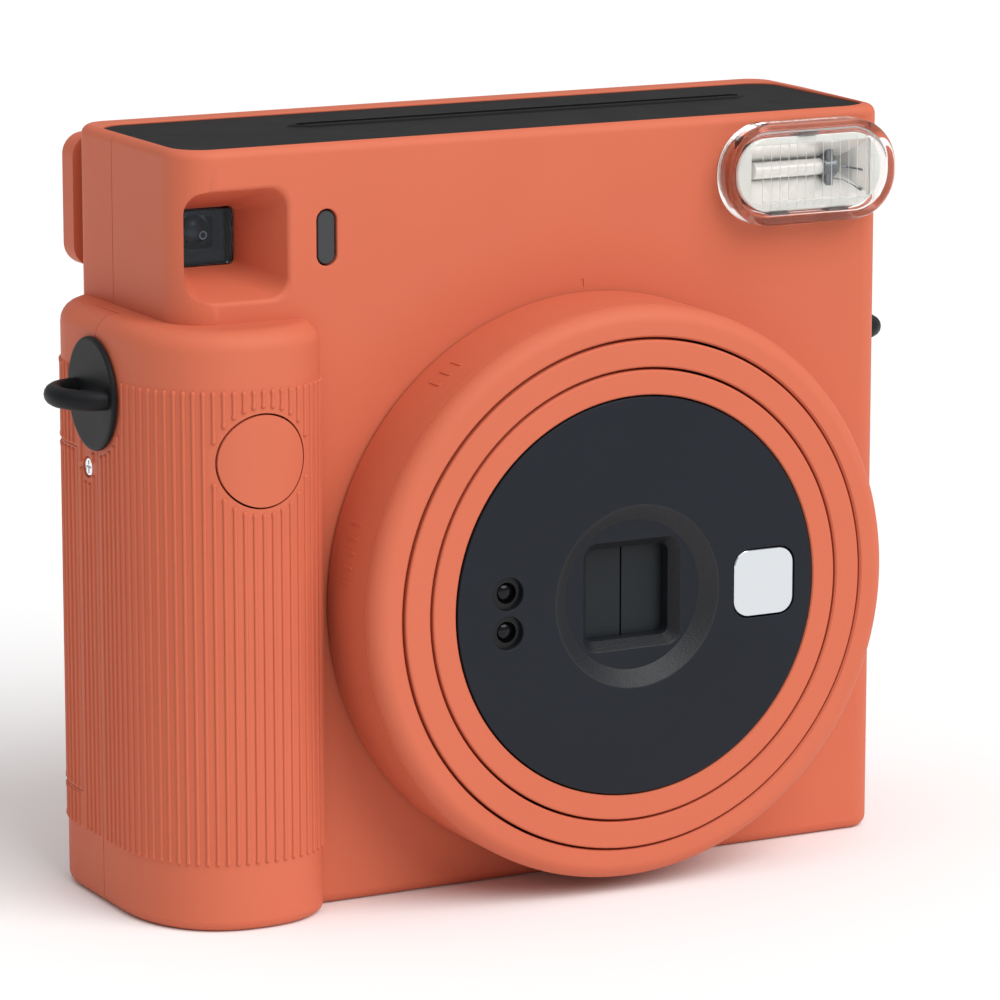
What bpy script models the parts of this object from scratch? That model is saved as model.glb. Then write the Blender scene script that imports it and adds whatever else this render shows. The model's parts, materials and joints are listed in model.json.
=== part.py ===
"""Instant camera for square prints, built as the separate pieces it comes apart into.

Frame: origin at the centre of the flat base, +Z up, the lens faces -Y and the hand grip is on the -X side.
Every size below is in millimetres; MM turns them into Blender's metres.
"""

import math

import bmesh
import bpy
from mathutils import Matrix, Vector

MM = 0.001

# Driving dimensions of the body
WIDTH = 130.7
HEIGHT = 118.6
FRONT = -20.0
REAR = 20.5
WALL = 2.0
GAP = 0.3
RUNNING = 0.05  # radial clearance of a pin or shaft in its bore
BORE_SIDES = 24
PIN_RADIUS = 0.8
SHAFT_RADIUS = 1.4
AXLE_RADIUS = 1.2
STEM_RADIUS = 2.4
SIDE = WIDTH / 2
SIDE_DRAFT = 1.2
LEDGE = 92.3
UPPER_LEFT = -58.6
SEAM = 5.0
GRIP_SEAM = -3.5
GRIP_SEAM_X = -61.5
LEDGE_ROUND = 3.2
BASE_ROUND = 1.8
TOP_ROUND = 1.6
TOP_WALL = 3.5
PANEL_DEPTH = 1.7
PANEL_RIM = 1.3
PANEL_REAR = 16.5
BEYOND = 90.0  # past every face of the body, for cutters

# Hand grip: a superellipse bulge that starts at a crease in the front face
CREASE = -36.0
GRIP_X = -48.5
GRIP_Y = -8.0
GRIP_DEPTH = 20.0
GRIP_POWER = 2.3

# Lens group
LENS_X = 10.2
LENS_Z = 47.5
LENS_FACE = -37.0
RING_RADIUS = 45.2
RING_BORE = 40.3
RING_COLLAR = 42.2
MIDDLE_RADIUS = 39.9
MIDDLE_BORE = 35.7
FRONT_RADIUS = 35.3
PLATE_RADIUS = 31.2
LENS_BOARD = -24.5
APERTURE = 14.2
SENSOR_X = -12.4
SENSOR_HEIGHTS = {"upper": 50.2, "lower": 44.1}
MIRROR_X = 32.7
MIRROR_SIZE = 10.6

# Controls and windows
BUTTON_X = -48.9
BUTTON_Z = 72.6
BUTTON_RADIUS = 7.0
FINDER_X = -49.2
FINDER_Z = 103.9
FINDER_MOUTH = (8.7, 8.65)
FINDER_THROAT = (4.5, 4.6)
FINDER_BACK = -9.0
FINDER_WALL = 1.6
AE_X = -34.3
AE_Z = 104.2
FLASH_LOW = (33.4, 101.1)
FLASH_HIGH = (63.8, 117.2)
LUG_Y = -3.2
LUG_Z = 80.3
LUG_RADIUS = 8.75

# Film path
CHAMBER_LOW = Vector((-31.3, -1.5, 5.0))
CHAMBER_HIGH = Vector((51.7, 15.9, 103.5))
CHAMBER_WALL = 1.5
SLOT_Y = 1.5
SLOT_HALF = 39.4
ROLLER_Z = 108.0
ROLLER_RADIUS = 3.55
ROLLER_PITCH = 7.5
GEAR_LEFT = 54.0
GEAR_RIGHT = 57.0
MODULE = ROLLER_PITCH / 16
DOOR_LEFT = -31.6
DOOR_LOW = 4.8
DOOR_HIGH = 103.6
HINGE_X = 57.5
HINGE_Y = 18.5

# Batteries
CELL_X = -51.0
CELL_Y = 3.0
CELL_RADIUS = 7.8
CELL_LENGTH = 26.9
COVER_LOW = Vector((-70.0, 4.3, 16.3))
COVER_HIGH = Vector((-50.3, 25.0, 70.7))
COVER_HINGE_Y = REAR - 0.25

# name: (colour, metallic, roughness)
FINISHES = {
    "orange_plastic": ((0.72, 0.20, 0.11), 0.0, 0.45),
    "black_plastic": ((0.018, 0.018, 0.020), 0.0, 0.5),
    "face_black": ((0.030, 0.034, 0.042), 0.0, 0.3),
    "clear_plastic": ((0.85, 0.85, 0.84), 0.0, 0.1),
    "dark_glass": ((0.02, 0.02, 0.03), 0.0, 0.05),
    "lens_glass": ((0.55, 0.60, 0.62), 0.0, 0.03),
    "mirror": ((0.85, 0.87, 0.88), 1.0, 0.05),
    "reflector": ((0.90, 0.90, 0.88), 1.0, 0.15),
    "steel": ((0.60, 0.60, 0.62), 1.0, 0.3),
    "white_plastic": ((0.75, 0.74, 0.70), 0.0, 0.5),
    "board_green": ((0.02, 0.16, 0.07), 0.0, 0.5),
    "cell_wrap": ((0.30, 0.30, 0.33), 0.3, 0.4),
}


# --- Scene helpers ---------------------------------------------------------------------------


def clear_scene():
    for thing in list(bpy.data.objects):
        bpy.data.objects.remove(thing, do_unlink=True)


def make_collection(name):
    collection = bpy.data.collections.new(name)
    bpy.context.scene.collection.children.link(collection)
    return collection


def make_material(name):
    colour, metallic, roughness = FINISHES[name]
    material = bpy.data.materials.new(name)
    material.use_nodes = True
    shader = material.node_tree.nodes["Principled BSDF"]
    shader.inputs["Base Color"].default_value = (*colour, 1.0)
    shader.inputs["Metallic"].default_value = metallic
    shader.inputs["Roughness"].default_value = roughness
    return material


def adopt(thing, name, finish=None):
    """Name an object; give it its finish and the camera collection, or make it a hidden cutter."""
    thing.name = name
    thing.data.name = name
    for collection in list(thing.users_collection):
        collection.objects.unlink(thing)
    if finish is None:
        CUTTERS.objects.link(thing)
        thing.display_type = "WIRE"
        thing.hide_render = True
    else:
        CAMERA.objects.link(thing)
        thing.data.materials.clear()
        thing.data.materials.append(MATERIALS[finish])
    return thing


def shade(thing, angle=35):
    thing.data.shade_smooth()
    thing.data.set_sharp_from_angle(angle=math.radians(angle))
    return thing


# --- Shape helpers ---------------------------------------------------------------------------


def box(name, low, high, finish=None):
    """A block between two corners."""
    low, high = Vector(low) * MM, Vector(high) * MM
    bpy.ops.mesh.primitive_cube_add(size=1.0, location=(low + high) / 2)
    block = bpy.context.object
    block.scale = high - low
    bpy.ops.object.transform_apply(location=False, rotation=False, scale=True)
    return adopt(block, name, finish)


def cylinder(name, centre, radius, length, axis="Y", finish=None, sides=32):
    """A cylinder centred on a point and lying along an axis."""
    turn = {"X": (0, math.pi / 2, 0), "Y": (-math.pi / 2, 0, 0), "Z": (0, 0, 0)}[axis]
    bpy.ops.mesh.primitive_cylinder_add(
        vertices=sides,
        radius=radius * MM,
        depth=length * MM,
        location=Vector(centre) * MM,
        rotation=turn,
    )
    return shade(adopt(bpy.context.object, name, finish))


def turned(name, centre, profile, finish=None, steps=48):
    """A shape turned about the lens direction from (radius, y) points, outer side first, front to back."""
    mesh = bpy.data.meshes.new(name)
    points = [(radius * MM, 0.0, (centre[1] - y) * MM) for radius, y in profile]
    closed = all(radius > 0 for radius, _ in profile)
    edges = [(i, i + 1) for i in range(len(points) - 1)]
    if closed:
        edges.append((len(points) - 1, 0))
    mesh.from_pydata(points, edges, [])
    thing = bpy.data.objects.new(name, mesh)
    thing.location = Vector(centre) * MM
    thing.rotation_euler = (math.pi / 2, 0, 0)
    bpy.context.scene.collection.objects.link(thing)
    screw = thing.modifiers.new("Turn", "SCREW")
    screw.steps = screw.render_steps = steps
    screw.use_merge_vertices = True
    screw.merge_threshold = 0.00001
    screw.use_normal_calculate = False
    return adopt(thing, name, finish)


def to_mesh(curve, name, finish):
    """Turn a curve object into a closed mesh object in the same place."""
    bpy.context.view_layer.update()
    graph = bpy.context.evaluated_depsgraph_get()
    mesh = bpy.data.meshes.new_from_object(curve.evaluated_get(graph))
    cleaner = bmesh.new()
    cleaner.from_mesh(mesh)
    bmesh.ops.remove_doubles(cleaner, verts=cleaner.verts, dist=0.000001)
    bmesh.ops.dissolve_limit(cleaner, angle_limit=0.001, verts=cleaner.verts, edges=cleaner.edges)
    bmesh.ops.recalc_face_normals(cleaner, faces=cleaner.faces)
    cleaner.to_mesh(mesh)
    cleaner.free()
    thing = bpy.data.objects.new(name, mesh)
    thing.matrix_world = curve.matrix_world.copy()
    bpy.context.scene.collection.objects.link(thing)
    bpy.data.objects.remove(curve)
    return adopt(thing, name, finish)


def plate(name, outline, low, high, axis="Z", finish=None, holes=()):
    """A flat outline given thickness from low to high along an axis; holes are outlines inside it.

    Outline points are (x, y) for axis Z, (x, z) for axis Y and (y, z) for axis X.
    """
    curve = bpy.data.curves.new(name, "CURVE")
    curve.dimensions = "2D"
    curve.fill_mode = "BOTH"
    curve.extrude = (high - low) / 2 * MM
    for loop in (outline, *holes):
        spline = curve.splines.new("POLY")
        spline.points.add(len(loop) - 1)
        for point, (u, v) in zip(spline.points, loop):
            point.co = (u * MM, v * MM, 0, 1)
        spline.use_cyclic_u = True
    thing = bpy.data.objects.new(name, curve)
    bpy.context.scene.collection.objects.link(thing)
    middle = (low + high) / 2 * MM
    stand = {
        "Z": Matrix.Translation((0, 0, middle)),
        "Y": Matrix.Translation((0, middle, 0)) @ Matrix.Rotation(math.pi / 2, 4, "X"),
        "X": Matrix(((0, 0, 1, middle), (1, 0, 0, 0), (0, 1, 0, 0), (0, 0, 0, 1))),
    }
    thing.matrix_world = stand[axis]
    return to_mesh(thing, name, finish)


def rod(name, points, radius, finish, resolution=3):
    """A round bar through a list of points."""
    curve = bpy.data.curves.new(name, "CURVE")
    curve.dimensions = "3D"
    curve.bevel_depth = radius * MM
    curve.bevel_resolution = resolution
    curve.use_fill_caps = True
    spline = curve.splines.new("POLY")
    spline.points.add(len(points) - 1)
    for point, place in zip(spline.points, points):
        point.co = (*(Vector(place) * MM), 1)
    thing = bpy.data.objects.new(name, curve)
    bpy.context.scene.collection.objects.link(thing)
    return shade(to_mesh(thing, name, finish))


def boolean(thing, operation, *others):
    for other in others:
        step = thing.modifiers.new(operation.title() + "_" + other.name, "BOOLEAN")
        step.operation = operation
        step.solver = "EXACT"
        step.object = other
    return thing


def cut(thing, *cutters):
    return boolean(thing, "DIFFERENCE", *cutters)


def join(thing, *pieces):
    return boolean(thing, "UNION", *pieces)


def joint_empty(name, place):
    """An empty that stands on a joint's axis, for the pieces that move with it."""
    empty = bpy.data.objects.new(name, None)
    empty.location = Vector(place) * MM
    CAMERA.objects.link(empty)
    return empty


def hang(empty, *pieces):
    """Parent pieces to a joint's empty and keep their places."""
    bpy.context.view_layer.update()
    for piece in pieces:
        world = piece.matrix_world.copy()
        piece.parent = empty
        piece.matrix_parent_inverse = Matrix.Identity(4)
        piece.matrix_basis = empty.matrix_world.inverted() @ world


# --- Outlines --------------------------------------------------------------------------------


def arc(centre, radius, start, end, steps):
    """Points of an arc, angles in degrees, counter-clockwise when end is larger than start."""
    angles = [math.radians(start + (end - start) * i / steps) for i in range(steps + 1)]
    return [(centre[0] + radius * math.cos(a), centre[1] + radius * math.sin(a)) for a in angles]


def rounded_rectangle(low, high, radius, steps=4):
    (x0, y0), (x1, y1) = low, high
    corners = [(x1, y0, -90), (x1, y1, 0), (x0, y1, 90), (x0, y0, 180)]
    points = []
    for x, y, start in corners:
        centre = (x - math.copysign(radius, x - (x0 + x1) / 2), y - math.copysign(radius, y - (y0 + y1) / 2))
        points += arc(centre, radius, start, start + 90, steps)
    return points


def circle(centre, radius, steps=24):
    return arc(centre, radius, 0, 360, steps)[:-1]


def bore(centre, shaft_radius):
    """Outline of the hole that a pin or shaft runs in."""
    return circle(centre, shaft_radius + RUNNING, BORE_SIDES)


def inset(points, distance):
    """Move a closed counter-clockwise outline inwards by a distance."""
    moved = []
    for i, point in enumerate(points):
        here = Vector(point)
        before = (here - Vector(points[i - 1])).normalized()
        after = (Vector(points[(i + 1) % len(points)]) - here).normalized()
        normal = (Vector((-before.y, before.x)) + Vector((-after.y, after.x))).normalized()
        reach = distance / max(0.5, normal.dot(Vector((-before.y, before.x))))
        moved.append(tuple(here + normal * reach))
    return moved


def grip_bulge(steps_left=10, steps_right=6):
    """The grip's front, from the crease round the nose to the left side."""
    points = []
    for half_width, start, end, steps in ((15.6, 36, 90, steps_right), (SIDE + GRIP_X, 90, 180, steps_left)):
        for i in range(steps + 1):
            angle = math.radians(start + (end - start) * i / steps)
            along = math.copysign(abs(math.cos(angle)) ** (2 / GRIP_POWER), math.cos(angle))
            out = abs(math.sin(angle)) ** (2 / GRIP_POWER)
            points.append((GRIP_X + half_width * along, GRIP_Y - GRIP_DEPTH * out))
    del points[steps_right + 1]
    return [(CREASE, FRONT)] + [p for p in points if p[0] < CREASE]


def right_side(rear=REAR):
    """The right-hand side, which widens a little from the front face to the seam."""
    front_corner = arc((SIDE - SIDE_DRAFT - 4.0, FRONT + 4.0), 4.0, -90, -3, 4)
    rear_corner = arc((SIDE - 5.0, rear - 5.0), 5.0, 0, 90, 4)
    return front_corner + [(SIDE, SEAM)] + rear_corner


def lower_outline():
    """Plan of the body below the ledge, grip included, counter-clockwise from the front right corner."""
    rear_left = arc((13.0 - SIDE, REAR - 13.0), 13.0, 90, 180, 7)
    return right_side() + rear_left + list(reversed(grip_bulge()))


def upper_outline(rear=REAR):
    """Plan of the body above the ledge, or of the same outline cut short at a nearer rear edge."""
    rear_left = arc((UPPER_LEFT + 5.0, rear - 5.0), 5.0, 90, 180, 4)
    front_left = arc((UPPER_LEFT + 6.5, FRONT + 6.5), 6.5, 180, 270, 5)
    return right_side(rear) + rear_left + front_left


# --- Casing ----------------------------------------------------------------------------------


def rim_bevel(thing, top, base):
    """Round the top and base rims of an upright plate by their own widths."""
    mesh = thing.data
    middle = sum((v.co.z for v in mesh.vertices), 0.0) / len(mesh.vertices)
    weights = mesh.attributes.new("bevel_weight_edge", "FLOAT", "EDGE")
    widest = max(top, base)
    for edge in mesh.edges:
        z0, z1 = (mesh.vertices[i].co.z for i in edge.vertices)
        if abs(z0 - z1) < MM * 0.01:
            weights.data[edge.index].value = (top if z0 > middle else base) / widest
    bevel = thing.modifiers.new("Round rims", "BEVEL")
    bevel.limit_method = "WEIGHT"
    bevel.width = widest * MM
    bevel.segments = 3


def casing(name, finish="orange_plastic"):
    """The whole hollow outer casing. Each half of the shell, and the battery cover, is a part of it."""
    overlap = 12.0
    upper_foot = LEDGE - 2 * overlap
    shell = plate(name, lower_outline(), 0.0, LEDGE, "Z", finish)
    rim_bevel(shell, LEDGE_ROUND, BASE_ROUND)
    upper = plate(name + "_upper", upper_outline(), LEDGE - overlap, HEIGHT)
    rim_bevel(upper, TOP_ROUND, 0.0001)
    hollow = plate(name + "_hollow", inset(lower_outline(), WALL), WALL, LEDGE - WALL)
    upper_hollow = plate(name + "_upper_hollow", inset(upper_outline(), WALL), upper_foot, HEIGHT - TOP_WALL)
    join(shell, upper)
    return cut(shell, hollow, upper_hollow)


def seam_line(offset):
    """Plan of the seam between the shell halves, moved to the rear by an offset."""
    step = GRIP_SEAM_X - offset
    return [
        (-BEYOND, GRIP_SEAM + offset),
        (step, GRIP_SEAM + offset),
        (step, SEAM + offset),
        (BEYOND, SEAM + offset),
    ]


def panel_recess(name):
    return plate(name, inset(upper_outline(PANEL_REAR), PANEL_RIM), HEIGHT - PANEL_DEPTH, HEIGHT + 2.0)


def film_slot(name, low, high, half_width):
    ends = ((LENS_X - SLOT_HALF, SLOT_Y - half_width), (LENS_X + SLOT_HALF, SLOT_Y + half_width))
    return plate(name, rounded_rectangle(*ends, half_width * 0.9), low, high)


def finder_funnel(name, grow):
    """The tapered recess in front of the viewfinder window, or its outer wall when grow is positive."""
    mouth = [half + grow for half in FINDER_MOUTH]
    throat = [half + grow for half in FINDER_THROAT]
    front, back = FRONT - (0.0 if grow else 0.4), FINDER_BACK + grow
    funnel = box(name, (FINDER_X - 1, front, FINDER_Z - 1), (FINDER_X + 1, back, FINDER_Z + 1))
    middle = funnel.location.y
    for vertex in funnel.data.vertices:
        half = mouth if vertex.co.y + middle < (front + 1) * MM else throat
        vertex.co.x = math.copysign(half[0] * MM, vertex.co.x)
        vertex.co.z = math.copysign(half[1] * MM, vertex.co.z)
    bevel = funnel.modifiers.new("Round corners", "BEVEL")
    bevel.limit_method = "WEIGHT"
    bevel.width = 2.8 * MM
    bevel.segments = 3
    weights = funnel.data.attributes.new("bevel_weight_edge", "FLOAT", "EDGE")
    for edge in funnel.data.edges:
        y0, y1 = (funnel.data.vertices[i].co.y for i in edge.vertices)
        weights.data[edge.index].value = 1.0 if abs(y0 - y1) > MM else 0.0
    return funnel


def lug_hole(name, side):
    return cylinder(name, (side * (SIDE - 2), LUG_Y, LUG_Z), 3.3, 12, "X", sides=20)


def build_front_shell():
    shell = casing("front_shell")
    wall = finder_funnel("finder_wall", FINDER_WALL)
    boolean(wall, "INTERSECT", plate("finder_limit", inset(upper_outline(), 0.5), LEDGE, HEIGHT))
    join(shell, wall)
    behind = seam_line(-GAP / 2) + [(BEYOND, BEYOND), (-BEYOND, BEYOND)]
    cut(
        shell,
        plate("front_seam_cut", behind, -BEYOND, 2 * BEYOND),
        panel_recess("front_panel_recess"),
        film_slot("front_film_slot", HEIGHT - 5, HEIGHT, 1.6),
        cylinder("lens_hole", (LENS_X, FRONT, LENS_Z), RING_COLLAR + GAP, 14, "Y", sides=48),
        cylinder("button_hole", (BUTTON_X, -27, BUTTON_Z), BUTTON_RADIUS + 0.35, 14, "Y"),
        finder_funnel("finder_recess", 0.0),
        box("finder_throat", (FINDER_X - 4.6, -12, FINDER_Z - 4.7), (FINDER_X + 4.6, -5, FINDER_Z + 4.7)),
        plate("ae_hole", pill(1.7, 8.7), FRONT - 2, FRONT + 5, "Y"),
        box("flash_hole", (37.2, -24, 103.9), (60.4, -15, 114.6)),
        lug_hole("front_left_lug_hole", -1),
        lug_hole("front_right_lug_hole", 1),
        cylinder("front_base_screw_hole", (30, -11, 1), 2.2, 6, "Z", sides=16),
    )
    return shell


def pill(half_width, height):
    low = (AE_X - half_width, AE_Z - height / 2)
    high = (AE_X + half_width, AE_Z + height / 2)
    return rounded_rectangle(low, high, half_width * 0.98, 5)


def build_rear_shell():
    shell = casing("rear_shell")
    hinge_bosses = [
        box("hinge_boss_low", (54.5, 15.7, 1.5), (61.0, 20.2, 4.3)),
        box("hinge_boss_high", (54.5, 15.7, 104.1), (61.0, 20.2, 108.0)),
    ]
    join(shell, *hinge_bosses)
    ahead = seam_line(GAP / 2)[::-1] + [(-BEYOND, -BEYOND), (BEYOND, -BEYOND)]
    cut(
        shell,
        plate("rear_seam_cut", ahead, -BEYOND, 2 * BEYOND),
        panel_recess("rear_panel_recess"),
        box("door_opening", (DOOR_LEFT - GAP, 15.4, DOOR_LOW - GAP), (HINGE_X + 3.2, 25, DOOR_HIGH + GAP)),
        cylinder("pin_hole", (HINGE_X, HINGE_Y, 54.2), PIN_RADIUS + RUNNING, 103.4, "Z", sides=BORE_SIDES),
        box("cover_opening", COVER_LOW - Vector((1, GAP, GAP)), COVER_HIGH + Vector((GAP, 1, GAP))),
        box("eyepiece_hole", (FINDER_X - 5.0, 15, FINDER_Z - 5.0), (FINDER_X + 5.0, 25, FINDER_Z + 5.0)),
        lug_hole("rear_left_lug_hole", -1),
        cylinder("left_screw_hole", (-SIDE, 0.3, 68.3), 2.0, 3.0, "X", sides=16),
        cylinder("rear_base_screw_hole", (30, 12, 1), 2.2, 6, "Z", sides=16),
    )
    return shell


def build_battery_cover():
    cover = casing("battery_cover")
    boolean(cover, "INTERSECT", box("cover_region", COVER_LOW, COVER_HIGH))
    hang(joint_empty("battery_cover_axis", (COVER_HIGH.x, COVER_HINGE_Y, 43.5)), cover)


def build_top_panel():
    """The black panel, let in below the rim, with a lip round the slot that ends level with the top."""
    low = HEIGHT - PANEL_DEPTH + 0.2
    outline = inset(upper_outline(PANEL_REAR), PANEL_RIM + GAP)
    panel = plate("top_panel", outline, low, low + 1.1, "Z", "black_plastic")
    reach = SLOT_HALF + 1.6
    lip_low, lip_high = (LENS_X - reach, SLOT_Y - 3.0), (LENS_X + reach, SLOT_Y + 3.0)
    lip = plate("slot_lip", rounded_rectangle(lip_low, lip_high, 2.8), low + 0.4, HEIGHT)
    join(panel, lip)
    cut(panel, film_slot("panel_film_slot", HEIGHT - 3, HEIGHT + 3, 1.1))


def build_screws():
    places = {
        "left_side_screw": ((-SIDE + 1.0, 0.3, 68.3), 1.7, 0.8, "X"),
        "front_base_screw": ((30, -11, 1.2), 1.9, 1.4, "Z"),
        "rear_base_screw": ((30, 12, 1.2), 1.9, 1.4, "Z"),
    }
    for name, (centre, radius, length, axis) in places.items():
        cylinder(name, centre, radius, length, axis, "steel", 16)


def build_strap_lugs():
    """A round black boss on each side with a half ring that a strap's cord loops round."""
    for name, side in (("left_strap_lug", -1), ("right_strap_lug", 1)):
        x = side * (SIDE + 1.0)
        lug = cylinder(name, (x, LUG_Y, LUG_Z), LUG_RADIUS, 1.3, "X", "black_plastic", 28)
        stem = cylinder(name + "_stem", (x - side * 2.2, LUG_Y, LUG_Z), 2.9, 4.0, "X", sides=20)
        turns = [math.radians(180 * i / 10) for i in range(11)]
        path = [(x + side * 5.3 * math.sin(a), LUG_Y + 5.9 * math.cos(a), LUG_Z) for a in turns]
        loop = rod(name + "_loop", path, 1.6, None, 2)
        join(lug, stem, loop)


# --- Windows, finder and flash ---------------------------------------------------------------


def build_finder():
    def square(half):
        low, high = (FINDER_X - half, FINDER_Z - half), (FINDER_X + half, FINDER_Z + half)
        return rounded_rectangle(low, high, 1.0, 2)

    plate("viewfinder_window", square(4.3), -9.4, -8.0, "Y", "dark_glass")
    plate("viewfinder_tunnel", square(6.6), -6.9, 17.0, "Y", "black_plastic", [square(5.3)])
    low, high = (-58.3, 95.6), (-37.5, 116.4)
    outline = rounded_rectangle(low, high, 3.5)
    plate("eyepiece_housing", outline, REAR + GAP, 26.2, "Y", "orange_plastic", [square(4.9)])
    plate("eyepiece_lens", square(4.6), 22.0, 23.6, "Y", "lens_glass")
    plate("ae_window", pill(1.4, 8.1), FRONT + 0.4, FRONT + 1.4, "Y", "dark_glass")


def build_flash():
    outer = rounded_rectangle(FLASH_LOW, FLASH_HIGH, 7.6, 8)
    cover = plate("flash_cover", outer, -25.2, FRONT - GAP, "Y", "clear_plastic")
    inner = plate("flash_cover_hollow", inset(outer, 1.3), -23.9, FRONT + 2, "Y")
    cut(cover, inner)
    reflector = box("flash_reflector", (37.6, -23.5, 104.3), (60.0, -13.5, 114.2), "reflector")
    cut(reflector, box("reflector_hollow", (38.3, -30, 105.0), (59.3, -14.2, 113.5)))
    cylinder("flash_tube", (48.8, -19.0, 109.25), 1.5, 20.3, "X", "lens_glass", 16)
    cylinder("flash_capacitor", (57.0, -8.0, 40.0), 4.9, 38.0, "Z", "black_plastic", 24)


# --- Lens group ------------------------------------------------------------------------------


def build_lens_ring():
    profile = [
        (RING_BORE, LENS_FACE + 0.4),
        (RING_RADIUS - 1.5, LENS_FACE + 0.4),
        (RING_RADIUS - 0.4, LENS_FACE + 1.0),
        (RING_RADIUS - 0.1, LENS_FACE + 2.2),
        (RING_RADIUS, FRONT - 0.4),
        (RING_COLLAR, FRONT - 0.4),
        (RING_COLLAR, FRONT + 4.5),
        (RING_BORE, FRONT + 4.5),
    ]
    ring = turned("lens_ring", (LENS_X, FRONT, LENS_Z), profile, "orange_plastic", 64)
    washer = [
        (RING_COLLAR + 0.3, FRONT + WALL + 0.3),
        (RING_COLLAR + 2.5, FRONT + WALL + 0.3),
        (RING_COLLAR + 2.5, FRONT + WALL + 1.3),
        (RING_COLLAR + 0.3, FRONT + WALL + 1.3),
    ]
    retainer = turned("ring_retainer", (LENS_X, FRONT, LENS_Z), washer, "steel", 48)
    hang(joint_empty("lens_ring_axis", (LENS_X, FRONT, LENS_Z)), ring, retainer)


def build_middle_barrel():
    profile = [
        (MIDDLE_BORE, LENS_FACE + 0.2),
        (MIDDLE_RADIUS - 0.4, LENS_FACE + 0.2),
        (MIDDLE_RADIUS, LENS_FACE + 0.6),
        (MIDDLE_RADIUS, -15.0),
        (MIDDLE_BORE, -15.0),
    ]
    barrel = turned("middle_barrel", (LENS_X, FRONT, LENS_Z), profile, "orange_plastic", 48)
    hang(joint_empty("middle_barrel_axis", (LENS_X, FRONT, LENS_Z)), barrel)


def build_front_barrel():
    """The inner barrel: a cup whose floor is the lens board, closed in front by the black face plate."""
    profile = [
        (PLATE_RADIUS + 0.3, LENS_FACE + 0.1),
        (FRONT_RADIUS - 0.4, LENS_FACE + 0.1),
        (FRONT_RADIUS, LENS_FACE + 0.5),
        (FRONT_RADIUS, -14.0),
        (33.3, -14.0),
        (33.3, LENS_BOARD + 2.0),
        (8.0, LENS_BOARD + 2.0),
        (8.0, LENS_BOARD),
        (33.3, LENS_BOARD),
        (33.3, -34.0),
        (PLATE_RADIUS + 0.3, -34.0),
    ]
    return turned("front_barrel", (LENS_X, FRONT, LENS_Z), profile, "orange_plastic", 48)


def aperture_pyramid(name):
    """The square opening over the lens, which narrows from the hub's floor to the barrier leaves."""
    opening = box(name, (LENS_X - 1, LENS_FACE + 1, LENS_Z - 1), (LENS_X + 1, -31.5, LENS_Z + 1))
    for vertex in opening.data.vertices:
        half = 9.3 if vertex.co.y < 0 else APERTURE / 2
        vertex.co.x = math.copysign(half * MM, vertex.co.x)
        vertex.co.z = math.copysign(half * MM, vertex.co.z)
    return opening


def build_face_plate():
    profile = [
        (0.0, LENS_FACE + 1.8),
        (12.0, LENS_FACE + 1.8),
        (14.4, LENS_FACE),
        (PLATE_RADIUS, LENS_FACE),
        (PLATE_RADIUS, LENS_FACE + 1.5),
        (15.8, LENS_FACE + 1.5),
        (15.8, -31.7),
        (0.0, -31.7),
    ]
    face = turned("face_plate", (LENS_X, FRONT, LENS_Z), profile, "face_black", 48)
    low = (MIRROR_X - MIRROR_SIZE / 2 - 0.15, LENS_Z - MIRROR_SIZE / 2 - 0.15)
    high = (MIRROR_X + MIRROR_SIZE / 2 + 0.15, LENS_Z + MIRROR_SIZE / 2 + 0.15)
    holes = [
        cylinder("sensor_hole_" + name, (SENSOR_X, LENS_FACE, z), 2.65, 6, "Y", sides=20)
        for name, z in SENSOR_HEIGHTS.items()
    ]
    pocket = plate("mirror_pocket", rounded_rectangle(low, high, 2.6, 3), LENS_FACE - 1, LENS_FACE + 0.9, "Y")
    return cut(face, aperture_pyramid("square_opening"), pocket, *holes)


def build_face_fittings():
    half = MIRROR_SIZE / 2
    outline = rounded_rectangle((MIRROR_X - half, LENS_Z - half), (MIRROR_X + half, LENS_Z + half), 2.5, 3)
    pieces = [plate("selfie_mirror", outline, LENS_FACE + 0.05, LENS_FACE + 0.6, "Y", "mirror")]
    for name, z in SENSOR_HEIGHTS.items():
        centre = (SENSOR_X, LENS_FACE + 1.0, z)
        pieces.append(cylinder("light_sensor_" + name, centre, 2.3, 0.6, "Y", "dark_glass", 20))
    return pieces


def build_lens_cell():
    cell = [(8.7, -30.0), (11.0, -30.0), (11.0, LENS_BOARD - 0.3), (8.7, LENS_BOARD - 0.3)]
    front = [(0.0, -29.8), (4.5, -29.5), (8.4, -28.2), (8.4, -27.2), (0.0, -26.4)]
    rear = [(0.0, -24.6), (4.0, -24.4), (7.7, -23.6), (7.7, -22.8), (0.0, -22.6)]
    centre = (LENS_X, FRONT, LENS_Z)
    return [
        turned("lens_cell", centre, cell, "black_plastic", 32),
        turned("front_lens", centre, front, "lens_glass", 32),
        turned("rear_lens", centre, rear, "lens_glass", 32),
    ]


def build_barrier_leaf(side):
    name = "barrier_leaf_left" if side < 0 else "barrier_leaf_right"
    inner, outer = sorted((LENS_X + side * 0.15, LENS_X + side * 7.5))
    leaf = box(name, (inner, -31.4, LENS_Z - 7.6), (outer, -30.5, LENS_Z + 7.6), "black_plastic")
    hang(joint_empty(name + "_axis", (LENS_X, -31.0, LENS_Z)), leaf)


def build_shutter():
    """The swinging blade behind the lens board, on a pivot pin that stands on the board."""
    pivot = (LENS_X + 13.0, LENS_Z)
    tail = arc(pivot, 2.6, -120, 120, 8)
    head = arc((LENS_X, LENS_Z), 8.6, 60, 300, 12)
    blade = plate("shutter_blade", tail + head, -21.9, -21.5, "Y", "steel", [bore(pivot, PIN_RADIUS)])
    pin = cylinder("shutter_pin", (pivot[0], -21.7, pivot[1]), PIN_RADIUS, 1.5, "Y", "steel", 12)
    hang(joint_empty("shutter_blade_axis", (pivot[0], -21.7, pivot[1])), blade)
    return pin


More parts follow.
